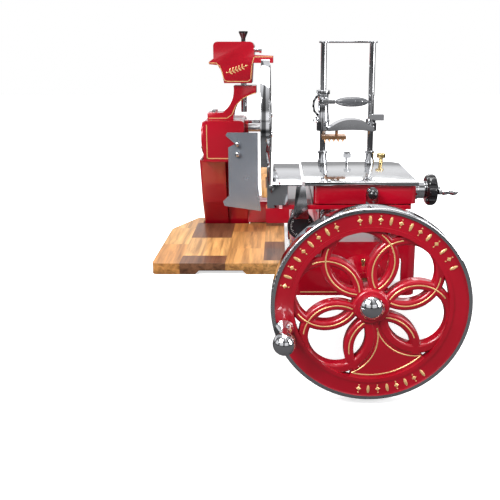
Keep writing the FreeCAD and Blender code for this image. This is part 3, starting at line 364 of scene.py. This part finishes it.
GILDING = cast_alloy("gilded line", (0.86, 0.55, 0.24), 0.26, 0.42)
for material, metallic in ((OWN_FINISH["deflector_plate"], 0.8), (FINISHES["stone"], 0.0), (GILDING, 0.35)):
    material.node_tree.nodes["Principled BSDF"].inputs["Metallic"].default_value = metallic
print("finishes:", ", ".join(sorted(FINISHES)))

# %% [markdown]
# A machined model arrives as loose triangles, which shade flat. A copy with its points merged can be
# shaded smooth, with true corners kept sharp. Castings and plates also get a fine bevel, because a
# real edge is never a knife edge: it catches a thread of light.


# %% Copy a frame piece, merge it, soften its edges
def finished_mesh(name, bm, material, sharp=32):
    mesh = bpy.data.meshes.new(name)
    bm.to_mesh(mesh)
    bm.free()
    for layer in ("custom_normal", "sharp_face", "sharp_edge"):
        if layer in mesh.attributes:
            mesh.attributes.remove(mesh.attributes[layer])
    mesh.materials.clear()
    mesh.materials.append(material)
    for face in mesh.polygons:
        face.material_index = 0
    mesh.shade_smooth()
    mesh.set_sharp_from_angle(angle=radians(sharp))
    made = bpy.data.objects.new(name, mesh)
    bpy.context.scene.collection.objects.link(made)
    return made


def soften(bm, edge_size):
    bmesh.ops.dissolve_limit(bm, angle_limit=radians(0.6), verts=bm.verts, edges=bm.edges)
    edges = [e for e in bm.edges if len(e.link_faces) == 2 and e.calc_face_angle(0) > radians(38)
             and e.calc_length() > edge_size * 2.2]
    bmesh.ops.bevel(bm, geom=edges, offset=edge_size, offset_type="OFFSET", segments=3,
                    profile=0.5, affect="EDGES", clamp_overlap=True, material=-1)


def finish_piece(name, edge_size=0.0):
    bm = bmesh.new()
    bm.from_mesh(frame["nodes"][name].data)
    bmesh.ops.remove_doubles(bm, verts=bm.verts, dist=1e-6)
    if edge_size:
        soften(bm, edge_size)
    slot = SLOTS[name]
    made = finished_mesh(name + "_finished", bm, OWN_FINISH.get(name, FINISHES[slot]))
    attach(made, BODY_OF[name])
    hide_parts(name)
    return made


# %% Finish all pieces of the frame
SOFT_EDGES = {"base_casting": 1.2, "column": 1.0, "gear_case": 1.6, "drive_head": 2.4,
              "sharpener_arm": 1.8, "sharpener_housing": 3.0, "table_body": 1.0,
              "lower_carriage": 0.8, "cutting_board": 2.0, "rail_brackets": 0.8,
              "head_cover": 0.6, "release_tab": 0.5, "gauge_plate": 0.5, "apron_plate": 0.5,
              "table_plate": 0.6, "clamp_sleeve": 0.4, "clamp_lever": 0.5, "carriage_bearings": 0.8,
              "feed_bearings": 0.5, "crossbar": 0.4, "blade_guard": 0.5, "thickness_housing": 0.5}
for name in SLOTS:
    finish_piece(name, SOFT_EDGES.get(name, 0.0) * MM)
print("softened:", len(SOFT_EDGES), "of", len(SLOTS))

# %% [markdown]
# Painters line out these machines with a long-haired brush: a thin gold line follows each edge and
# each spoke. A line here is a shallow bead, spun round a centre for arcs, or a flat box for runs.
# Both stand a few tenths of a millimetre proud, so they also cast a real highlight.


# %% Beads along arcs and straight runs
def spun_bead(bm, centre, axis, start, radius, sweep, width, rise):
    """A bead round an axis: start is the unit direction of its first end, seen from the centre."""
    axis, start = Vector(axis), Vector(start)
    corners = [(-width / 2, 0.0), (width / 2, 0.0), (width / 4, rise), (-width / 4, rise)]
    section = [bm.verts.new(Vector(centre) + start * (radius + a) + axis * b) for a, b in corners]
    face = bm.faces.new(section)
    steps = max(6, int(abs(math.degrees(sweep)) / 4))
    full = abs(sweep) > 6.28
    edges = list(face.edges)
    if full:
        bm.faces.remove(face)
    bmesh.ops.spin(bm, geom=edges if full else edges + [face], cent=centre, axis=axis, angle=sweep,
                   steps=steps * 2 if full else steps, use_merge=full)


def straight_bead(bm, first, last, normal, width, rise):
    """A flat run between two points, lying on a face with the given outward normal."""
    first, last, normal = Vector(first), Vector(last), Vector(normal).normalized()
    along = (last - first).normalized()
    side = normal.cross(along)
    turn = Matrix((along, side, normal)).transposed().to_4x4()
    size = Matrix.Diagonal(((last - first).length + width, width, rise, 1))
    place = Matrix.Translation((first + last) / 2 + normal * rise * 0.4)
    bmesh.ops.create_cube(bm, size=1.0, matrix=place @ turn @ size)


def trim_piece(name, bm, body, material=None, sharp=32):
    bmesh.ops.recalc_face_normals(bm, faces=bm.faces)
    made = finished_mesh(name, bm, material or GILDING, sharp)
    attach(made, body)
    return made


# %% [markdown]
# The flywheel's spokes are six overlapping rings, and a gold line runs along the crown of each.
# A ring's line stops where the ring sinks into the hub or into the rim, so each ring has two arcs.

# %% Gold lines on the flywheel
RING_STEP, FIRST_RING, FILLED_RING = 60, 45, 4
LINE_STARTS, LINE_SWEEP = (52, 199), 109
tyre_low, tyre_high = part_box("flywheel_tyre")
wheel_centre = (tyre_low + tyre_high) / 2
wheel_radius = (tyre_high.x - tyre_low.x) / 2
wheel_face = tyre_low.y + 2 * MM
band_outer = wheel_radius - 7 * MM
band_inner = band_outer - 29 * MM
ring_radius = 57.5 * MM
ring_circle = band_inner + 17 * MM / 4 - ring_radius
crown = wheel_face + 3 * MM


def wheel_direction(degrees):
    """Unit vector in the wheel's plane; 0 is the operator's right, 90 is up."""
    return Vector((math.cos(radians(degrees)), 0.0, math.sin(radians(degrees))))


def wheel_point(degrees, radius, y):
    spot = wheel_centre + wheel_direction(degrees) * radius
    spot.y = y
    return spot


bm = bmesh.new()
FRONT = Vector((0.0, -1.0, 0.0))
for index in range(6):
    outward = FIRST_RING + RING_STEP * index
    centre = wheel_point(outward, ring_circle, crown)
    for side, first in enumerate(LINE_STARTS):
        reach = LINE_SWEEP
        if index == FILLED_RING - 1 + 2 * side:
            continue  # this side faces the counterweight, which has an outline of its own
        if index == FILLED_RING:
            first, reach = (96, 65) if side == 0 else (199, 65)
        spun_bead(bm, centre, FRONT, wheel_direction(outward + first), ring_radius,
                  radians(reach), 2.2 * MM, 0.5 * MM)
wheel_lines = trim_piece("flywheel_gold_lines", bm, "wheel")
print("gold lines on the wheel:", len(wheel_lines.data.polygons), "faces")

# %% [markdown]
# The counterweight is a solid fan between two petals, outlined in gold by three arcs: one under the
# rim, and one round each neighbouring ring's centre. The rings' arcs nearly touch at the fan's tip.
# The flat band of the rim carries raised leaves, diamonds and beads, spaced along three arcs.

# %% Counterweight outline and rim ornaments
bm = bmesh.new()
plate_face = crown + 2 * MM
arc_radius, rim_arc = 70.2 * MM, band_inner - 8 * MM
reach_cosine = (rim_arc ** 2 - ring_circle ** 2 - arc_radius ** 2) / (2 * ring_circle * arc_radius)
opening = math.degrees(math.acos(reach_cosine))
corner = math.degrees(math.atan2(arc_radius * math.sin(radians(opening)),
                                 ring_circle + arc_radius * reach_cosine))
before = FIRST_RING + RING_STEP * (FILLED_RING - 1)
after, tip = before + 2 * RING_STEP, 149
for angle, distance, first, last, radius in (
        (0, 0, before + corner, after - corner, rim_arc),
        (before, ring_circle, before + opening, before + tip, arc_radius),
        (after, ring_circle, after - tip, after - opening, arc_radius)):
    spun_bead(bm, wheel_point(angle, distance, plate_face), FRONT, wheel_direction(first), radius,
              radians(last - first), 2.0 * MM, 0.5 * MM)
trim_piece("counterweight_gold_line", bm, "wheel")


def leaf(bm, degrees, radius, length, width, sides):
    """A bevelled lens or diamond that stands on the band, its long axis along the radius."""
    made = bmesh.ops.create_circle(bm, cap_ends=True, segments=sides, radius=0.5)
    face = made["verts"][0].link_faces[0]
    raised = bmesh.ops.extrude_face_region(bm, geom=[face])
    top = [v for v in raised["geom"] if isinstance(v, bmesh.types.BMVert)]
    bmesh.ops.translate(bm, verts=top, vec=(0, 0, 1.0))
    bmesh.ops.scale(bm, verts=top, vec=(0.62, 0.62, 1.0))
    radial = wheel_direction(degrees)
    turn = Matrix((radial, FRONT.cross(radial), FRONT)).transposed().to_4x4()
    place = Matrix.Translation(wheel_point(degrees, radius, wheel_face))
    size = Matrix.Diagonal((length, width, 1.1 * MM, 1.0))
    bmesh.ops.transform(bm, verts=made["verts"] + top, matrix=place @ turn @ size)


bm = bmesh.new()
middle = (band_inner + band_outer) / 2 + 2 * MM
for first, last in ((166, 114), (99, 27), (263, 307)):
    count = int(abs(last - first) / 6.2)
    for step in range(count + 1):
        degrees = first + (last - first) * step / count
        if step % 2:
            leaf(bm, degrees, middle, 15 * MM, 5.2 * MM, 14)
            continue
        leaf(bm, degrees, middle, 8.5 * MM, 8.5 * MM, 4)
        for side in (-1, 1):
            leaf(bm, degrees, middle + side * 6.6 * MM, 2.6 * MM, 2.6 * MM, 10)
ornaments = trim_piece("flywheel_gilded_ornaments", bm, "wheel")
print("ornament faces:", len(ornaments.data.polygons))

# %% [markdown]
# The castings carry the same gold line: along the base's sides and its front foot, round the lower
# left corner of the drive head, under the swan-neck arm and round the shield of the sharpener.

# %% Gold lines on the castings
head_low, head_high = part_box("drive_head")
half_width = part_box("base_casting")[1].x
front_y, back_y = -280 * MM, 280 * MM


def outline(bm, points, normal, width=1.8 * MM, rise=0.4 * MM):
    for first, last in zip(points, points[1:]):
        straight_bead(bm, first, last, normal, width, rise)


bm = bmesh.new()
deck_height = 107 * MM
under_deck, foot_line = deck_height - 9 * MM, 7 * MM
for side in (-1, 1):
    wall = side * half_width
    for first, last, height in ((front_y + 22 * MM, back_y - 22 * MM, under_deck),
                                (front_y + 20 * MM, front_y + 66 * MM, foot_line),
                                (back_y - 146 * MM, back_y - 124 * MM, foot_line)):
        outline(bm, [(wall, first, height), (wall, last, height)], (side, 0, 0))
outline(bm, [(-100 * MM, front_y, foot_line), (100 * MM, front_y, foot_line)], (0, -1, 0))
trim_piece("base_gold_lines", bm, "frame")

bm = bmesh.new()
head_face = head_low.y
left, right = head_low.x + 9 * MM, head_low.x + 58 * MM
low, high = head_low.z + 8 * MM, head_high.z - 10 * MM
outline(bm, [(left, head_face, high), (left, head_face, low), (right + 14 * MM, head_face, low)],
        (0, -1, 0), 2.2 * MM)
trim_piece("drive_head_gold_line", bm, "frame")

# %% Gold lines on the swan neck and the sharpener's shield
def at_face(y, points):
    """Turns (x, z) pairs in millimetres into points on a face that looks forward."""
    return [(x * MM, y, z * MM) for x, z in points]


arm_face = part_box("sharpener_arm")[0].y
shield_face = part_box("sharpener_housing")[0].y
bm = bmesh.new()
outline(bm, at_face(arm_face, ((-308, 304), (-266, 304), (-254, 312), (-244, 334), (-228, 350),
                               (-208, 360), (-198, 363))), (0, -1, 0))
trim_piece("swan_neck_gold_line", bm, "frame")

bm = bmesh.new()
outline(bm, at_face(shield_face, ((-304, 432), (-288, 432), (-279, 424), (-275, 412), (-270, 394),
                                  (-264, 390), (-214, 390), (-208, 396), (-205, 428), (-200, 446),
                                  (-158, 446))), (0, -1, 0))
trim_piece("sharpener_gold_line", bm, "sharpener")

# %% [markdown]
# A small gilded spray fills the shield: a slanted stem with leaves on both sides and a bud at its end.
# Each leaf is a flattened sphere, so it shades like a brush stroke of thick gold.


# %% Spray on the sharpener's shield
def petal(bm, spot, degrees, length, width):
    place = Matrix.Translation(spot)
    turn = Matrix.Rotation(radians(-degrees), 4, "Y")
    size = Matrix.Diagonal((length / 2, 0.5 * MM, width / 2, 1.0))
    bmesh.ops.create_uvsphere(bm, u_segments=16, v_segments=8, radius=1.0, matrix=place @ turn @ size)


bm = bmesh.new()
stem_start, stem_end, slant = Vector((-262, 410)), Vector((-220, 425)), 20
straight_bead(bm, (stem_start.x * MM, shield_face, stem_start.y * MM),
              (stem_end.x * MM, shield_face, stem_end.y * MM), FRONT, 1.2 * MM, 0.5 * MM)
for step in range(5):
    foot = stem_start.lerp(stem_end, 0.10 + 0.17 * step)
    for side in (-1, 1):
        lean = radians(slant + side * 52)
        middle_of_leaf = foot + Vector((math.cos(lean), math.sin(lean))) * 4.6
        petal(bm, (middle_of_leaf.x * MM, shield_face, middle_of_leaf.y * MM), slant + side * 52,
              (9.4 - 0.7 * step) * MM, 3.1 * MM)
petal(bm, (stem_end.x * MM + 2 * MM, shield_face, stem_end.y * MM + 0.7 * MM), slant, 7 * MM, 3.6 * MM)
petal(bm, (stem_start.x * MM - 1 * MM, shield_face, stem_start.y * MM), slant, 3.6 * MM, 3.6 * MM)
trim_piece("sharpener_spray", bm, "sharpener")

# %% [markdown]
# Small hardware makes a machine look assembled: domed nuts at the rail ends, ribbed rims on the
# thumb screws, rivets through the clamp's grip, a spring lever at the clamp's side, and two oil cups.


# %% Helpers for turned hardware
def turned(bm, profile, start, axis, segments=40):
    """Spins a profile of (radius, height) pairs round an axis through the start point."""
    axis = Vector(axis).normalized()
    side = axis.orthogonal().normalized()
    verts = [bm.verts.new(Vector(start) + side * r * MM + axis * h * MM) for r, h in profile]
    edges = [bm.edges.new(pair) for pair in zip(verts, verts[1:])]
    bmesh.ops.spin(bm, geom=verts + edges, cent=start, axis=axis, angle=radians(360), steps=segments,
                   use_merge=True)
    bmesh.ops.remove_doubles(bm, verts=bm.verts, dist=1e-6)


def knurl(bm, start, axis, radius, length, count):
    """Ribs round a knob's rim."""
    axis = Vector(axis).normalized()
    side = axis.orthogonal().normalized()
    for step in range(count):
        out = Matrix.Rotation(2 * math.pi * step / count, 3, axis) @ side
        turn = Matrix((out, axis.cross(out), axis)).transposed().to_4x4()
        size = Matrix.Diagonal((0.9 * MM, 0.9 * MM, length, 1.0))
        spot = Matrix.Translation(Vector(start) + out * radius + axis * length / 2)
        bmesh.ops.create_cube(bm, size=1.0, matrix=spot @ turn @ size)


# %% Domed nuts and oil cups
rail_low, rail_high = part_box("rails")
bm = bmesh.new()
bracket_low, bracket_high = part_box("rail_brackets")
for x in (rail_low.x + 10 * MM, rail_high.x - 10 * MM):
    for y, way in ((bracket_low.y, -1), (bracket_high.y, 1)):
        turned(bm, [(0, 3.5), (4, 3), (6.5, 1.2), (7, 0), (7, -1), (0, -1)], (x, y, 150 * MM),
               (0, way, 0))
trim_piece("rail_end_nuts", bm, "frame", FINISHES["chrome"])

bm = bmesh.new()
for spot in ((14 * MM, -318 * MM, 74 * MM), (-245 * MM, 262 * MM, 96 * MM)):
    turned(bm, [(0, 12), (3.2, 11), (4.2, 9), (4.2, 5), (2.6, 4), (2.6, -3), (0, -3)], spot, (0, 0, 1))
trim_piece("oil_cups", bm, "frame", FINISHES["brass"])

# %% Knurled thumb screws on the deflector
stay_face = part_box("deflector_stays")[0].y
bm = bmesh.new()
for z in (222 * MM, 246 * MM):
    knurl(bm, (-240 * MM, stay_face, z), (0, 1, 0), 6.0 * MM, 6.6 * MM, 28)
    turned(bm, [(0, 1.2), (3, 1.0), (4.6, 0), (0, 0)], (-240 * MM, stay_face, z), (0, -1, 0))
trim_piece("deflector_thumb_screws", bm, "frame", FINISHES["chrome"])

# %% Rivets through the clamp's grip
grip_low, grip_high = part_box("clamp_grip")
bm = bmesh.new()
grip_z = (grip_low.z + grip_high.z) / 2
for x in (grip_low.x + 0.58 * (grip_high.x - grip_low.x), grip_low.x + 0.80 * (grip_high.x - grip_low.x)):
    turned(bm, [(0, 10.2), (1.2, 9.9), (1.8, 9.2), (1.8, 0), (0, 0)],
           (x, (grip_low.y + grip_high.y) / 2 + 1 * MM, grip_z), (0, -1, 0), 20)
trim_piece("clamp_grip_rivets", bm, "clamp_release", FINISHES["chrome"])

# %% Thumb screw and spring lever on the clamp's left side
bm = bmesh.new()
turned(bm, [(0, 15), (4, 14.6), (6.4, 13.2), (7.2, 10.5), (6.4, 8), (3.2, 7), (3.2, 0), (0, 0)],
       (-57 * MM, -118 * MM, 322 * MM), (-1, 0, 0))
lever = [Vector((x * MM, -118 * MM, z * MM)) for x, z in
         ((-56, 330), (-64, 333), (-70, 340), (-72, 350), (-71, 360), (-66, 368), (-60, 372))]
for first, last in zip(lever, lever[1:]):
    straight_bead(bm, first, last, (0, -1, 0), 4.2 * MM, 7 * MM)
turned(bm, [(0, 6), (3, 5.4), (4.2, 3.6), (4.2, 0), (0, 0)], (-60 * MM, -124 * MM, 372 * MM), (0, -1, 0))
trim_piece("clamp_side_hardware", bm, "clamp", FINISHES["chrome"])

# %% Ribs on the sharpener's knob
knob_low, knob_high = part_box("sharpener_knob")
bm = bmesh.new()
knob_centre = (knob_low + knob_high) / 2
knurl(bm, (knob_centre.x, knob_centre.y, knob_high.z - 3 * MM), (0, 0, 1), 10.1 * MM, 2.8 * MM, 36)
trim_piece("sharpener_knob_ribs", bm, "sharpener", FINISHES["black_resin"])

# %% [markdown]
# The thickness dial is read against a mark, so its face has engraved ticks, long and short, filled
# with white. They sit in a ring just inside the rim.

# %% Dial ticks
dial_low, dial_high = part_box("thickness_knob")
white = finish("white filling", (0.85, 0.85, 0.83), 0.0, 0.5)[0]
bm = bmesh.new()
dial_centre = Vector(((dial_low.x + dial_high.x) / 2, dial_low.y, (dial_low.z + dial_high.z) / 2))
for step in range(36):
    out = wheel_direction(10 * step)
    length = (4.2 if step % 3 == 0 else 2.2) * MM
    straight_bead(bm, dial_centre + out * (20.5 * MM - length), dial_centre + out * 20.5 * MM, FRONT,
                  0.5 * MM, 0.12 * MM)
trim_piece("dial_ticks", bm, "thickness_dial", white)

# %% [markdown]
# The stage is not part of the machine. The wheel turns below the level of the feet, so a plain
# plinth carries the base and the board, and a pale floor runs under both.

# %% Plinth and floor
def stage_finish():
    """White to the camera, mid grey to every reflection, so the enamel stays deep."""
    material, tree, shader = finish("pale stage", (0.86, 0.86, 0.86), 0.0, 0.8)
    shader.inputs["Specular IOR Level"].default_value = 0.0
    shader.inputs["Emission Color"].default_value = (1.0, 1.0, 1.0, 1.0)
    place = node(tree, "ShaderNodeTexCoord")
    reach = node(tree, "ShaderNodeVectorMath", operation="LENGTH")
    glow = node(tree, "ShaderNodeMapRange")
    for label, value in (("From Min", 0.35), ("From Max", 1.5), ("To Min", 0.62), ("To Max", 1.0)):
        glow.inputs[label].default_value = value
    tree.links.new(place.outputs["Object"], reach.inputs[0])
    tree.links.new(reach.outputs["Value"], glow.inputs["Value"])
    tree.links.new(glow.outputs["Result"], shader.inputs["Emission Strength"])
    seen = node(tree, "ShaderNodeLightPath")
    grey = node(tree, "ShaderNodeBsdfDiffuse")
    grey.inputs["Color"].default_value = (0.07, 0.07, 0.072, 1.0)
    mix = node(tree, "ShaderNodeMixShader")
    tree.links.new(seen.outputs["Is Camera Ray"], mix.inputs["Fac"])
    tree.links.new(grey.outputs[0], mix.inputs[1])
    tree.links.new(shader.outputs[0], mix.inputs[2])
    tree.links.new(mix.outputs[0], tree.nodes["Material Output"].inputs["Surface"])
    return material


pale = stage_finish()


def stage_block(name, low, high):
    bm = bmesh.new()
    size = Vector(high) - Vector(low)
    place = Matrix.Translation((Vector(low) + Vector(high)) / 2) @ Matrix.Diagonal((*size, 1.0))
    bmesh.ops.create_cube(bm, size=1.0, matrix=place)
    block = finished_mesh(name, bm, pale)
    return block


wheel_low = cad_box[0][2]
stage_block("plinth", (-0.43, -0.30, wheel_low - 0.012), (0.14, 0.31, -0.0004))
stage_block("floor", (-6.0, -4.0, wheel_low - 0.032), (6.0, 8.0, wheel_low - 0.012))

# %% [markdown]
# Chrome is only as good as what it reflects. The world is white to the camera, while reflections see
# a studio: dark flags in front with one high window band, a bright wall behind for the flat table,
# and upright panels that give every round post its light and dark stripes.


# %% Studio world
def fill_ramp(ramp, stops):
    ramp.color_ramp.elements.remove(ramp.color_ramp.elements[1])
    for index, (position, value) in enumerate(stops):
        stop = ramp.color_ramp.elements[0] if index == 0 else ramp.color_ramp.elements.new(position)
        stop.position = position
        stop.color = (value, value, value * 1.02, 1.0)


def studio_world():
    world = bpy.data.worlds.new("studio")
    bpy.context.scene.world = world
    world.use_nodes = True
    tree = world.node_tree
    tree.nodes.clear()
    out = node(tree, "ShaderNodeOutputWorld")
    shown = node(tree, "ShaderNodeBackground")
    shown.inputs["Color"].default_value = (1.0, 1.0, 1.0, 1.0)
    around = node(tree, "ShaderNodeBackground")
    around.inputs["Strength"].default_value = 1.0
    mix = node(tree, "ShaderNodeMixShader")
    rays = node(tree, "ShaderNodeLightPath")
    place = node(tree, "ShaderNodeTexCoord")
    parts = node(tree, "ShaderNodeSeparateXYZ")
    tree.links.new(place.outputs["Generated"], parts.inputs[0])
    height = math_node(tree, "ADD", math_node(tree, "MULTIPLY", parts.outputs["Z"], 0.5), 0.5)
    front, back = node(tree, "ShaderNodeValToRGB"), node(tree, "ShaderNodeValToRGB")
    fill_ramp(front, ((0.0, 0.05), (0.38, 0.16), (0.47, 0.30), (0.495, 0.05), (0.52, 0.12), (0.545, 0.70),
                      (0.61, 0.78), (0.63, 0.30), (0.65, 0.95), (0.72, 0.95), (0.75, 0.20), (0.86, 0.35),
                      (1.0, 0.9)))
    fill_ramp(back, ((0.0, 0.10), (0.44, 0.25), (0.495, 0.18), (0.52, 0.62), (0.56, 0.80), (0.62, 0.70),
                     (0.68, 0.50), (0.78, 0.35), (1.0, 0.8)))
    for ramp in (front, back):
        tree.links.new(height, ramp.inputs["Fac"])
    rearward = node(tree, "ShaderNodeMapRange", interpolation_type="SMOOTHSTEP")
    rearward.inputs["From Min"].default_value = -0.25
    rearward.inputs["From Max"].default_value = 0.55
    tree.links.new(parts.outputs["Y"], rearward.inputs["Value"])
    room = node(tree, "ShaderNodeMix", data_type="RGBA")
    tree.links.new(rearward.outputs["Result"], room.inputs["Factor"])
    tree.links.new(front.outputs["Color"], room.inputs["A"])
    tree.links.new(back.outputs["Color"], room.inputs["B"])
    azimuth = math_node(tree, "ARCTAN2", parts.outputs["X"], parts.outputs["Y"])
    wave = math_node(tree, "SINE", math_node(tree, "ADD", math_node(tree, "MULTIPLY", azimuth, 7.0), 0.9))
    panels = node(tree, "ShaderNodeMapRange", interpolation_type="SMOOTHSTEP")
    panels.inputs["From Min"].default_value = -0.75
    panels.inputs["From Max"].default_value = -0.35
    panels.inputs["To Min"].default_value = 0.18
    panels.inputs["To Max"].default_value = 1.05
    tree.links.new(wave, panels.inputs["Value"])
    tree.links.new(room.outputs["Result"], around.inputs["Color"])
    tree.links.new(panels.outputs["Result"], around.inputs["Strength"])
    tree.links.new(rays.outputs["Is Camera Ray"], mix.inputs["Fac"])
    tree.links.new(around.outputs[0], mix.inputs[1])
    tree.links.new(shown.outputs[0], mix.inputs[2])
    tree.links.new(mix.outputs[0], out.inputs["Surface"])


studio_world()


# %% Lamps
def softbox(name, place, target, width, height, power):
    lamp = bpy.data.lights.new(name, "AREA")
    lamp.shape = "RECTANGLE"
    lamp.size, lamp.size_y, lamp.energy = width, height, power
    made = bpy.data.objects.new(name, lamp)
    made.location = place
    made.rotation_euler = (Vector(target) - Vector(place)).to_track_quat("-Z", "Y").to_euler()
    bpy.context.scene.collection.objects.link(made)


middle_point = (-0.08, -0.05, 0.18)
softbox("key", (-1.5, -1.7, 1.9), middle_point, 1.3, 1.3, 80)
softbox("fill", (1.8, -1.3, 1.0), middle_point, 0.7, 1.6, 26)
softbox("back strip", (0.4, 1.8, 1.7), middle_point, 2.6, 1.4, 26)
softbox("top", (-0.1, -0.1, 2.3), middle_point, 1.2, 1.2, 34)

# %% [markdown]
# The camera stands a little left of the machine and above it, a metre and a half from the board,
# looking gently down. The lens shift frames the wheel low on the right without tilting verticals.

# %% Camera
eye = bpy.data.cameras.new("camera")
eye.lens, eye.sensor_width = 50.4, 36.0
eye.shift_x, eye.shift_y = -0.06, -0.074
eye.clip_start = 0.05
camera = bpy.data.objects.new("camera", eye)
camera.location = (-0.140, -1.560, 0.461)
camera.rotation_euler = (radians(90 - 13.1), 0.0, 0.0)
bpy.context.scene.collection.objects.link(camera)
bpy.context.scene.camera = camera
bpy.context.scene.view_settings.view_transform = "Standard"
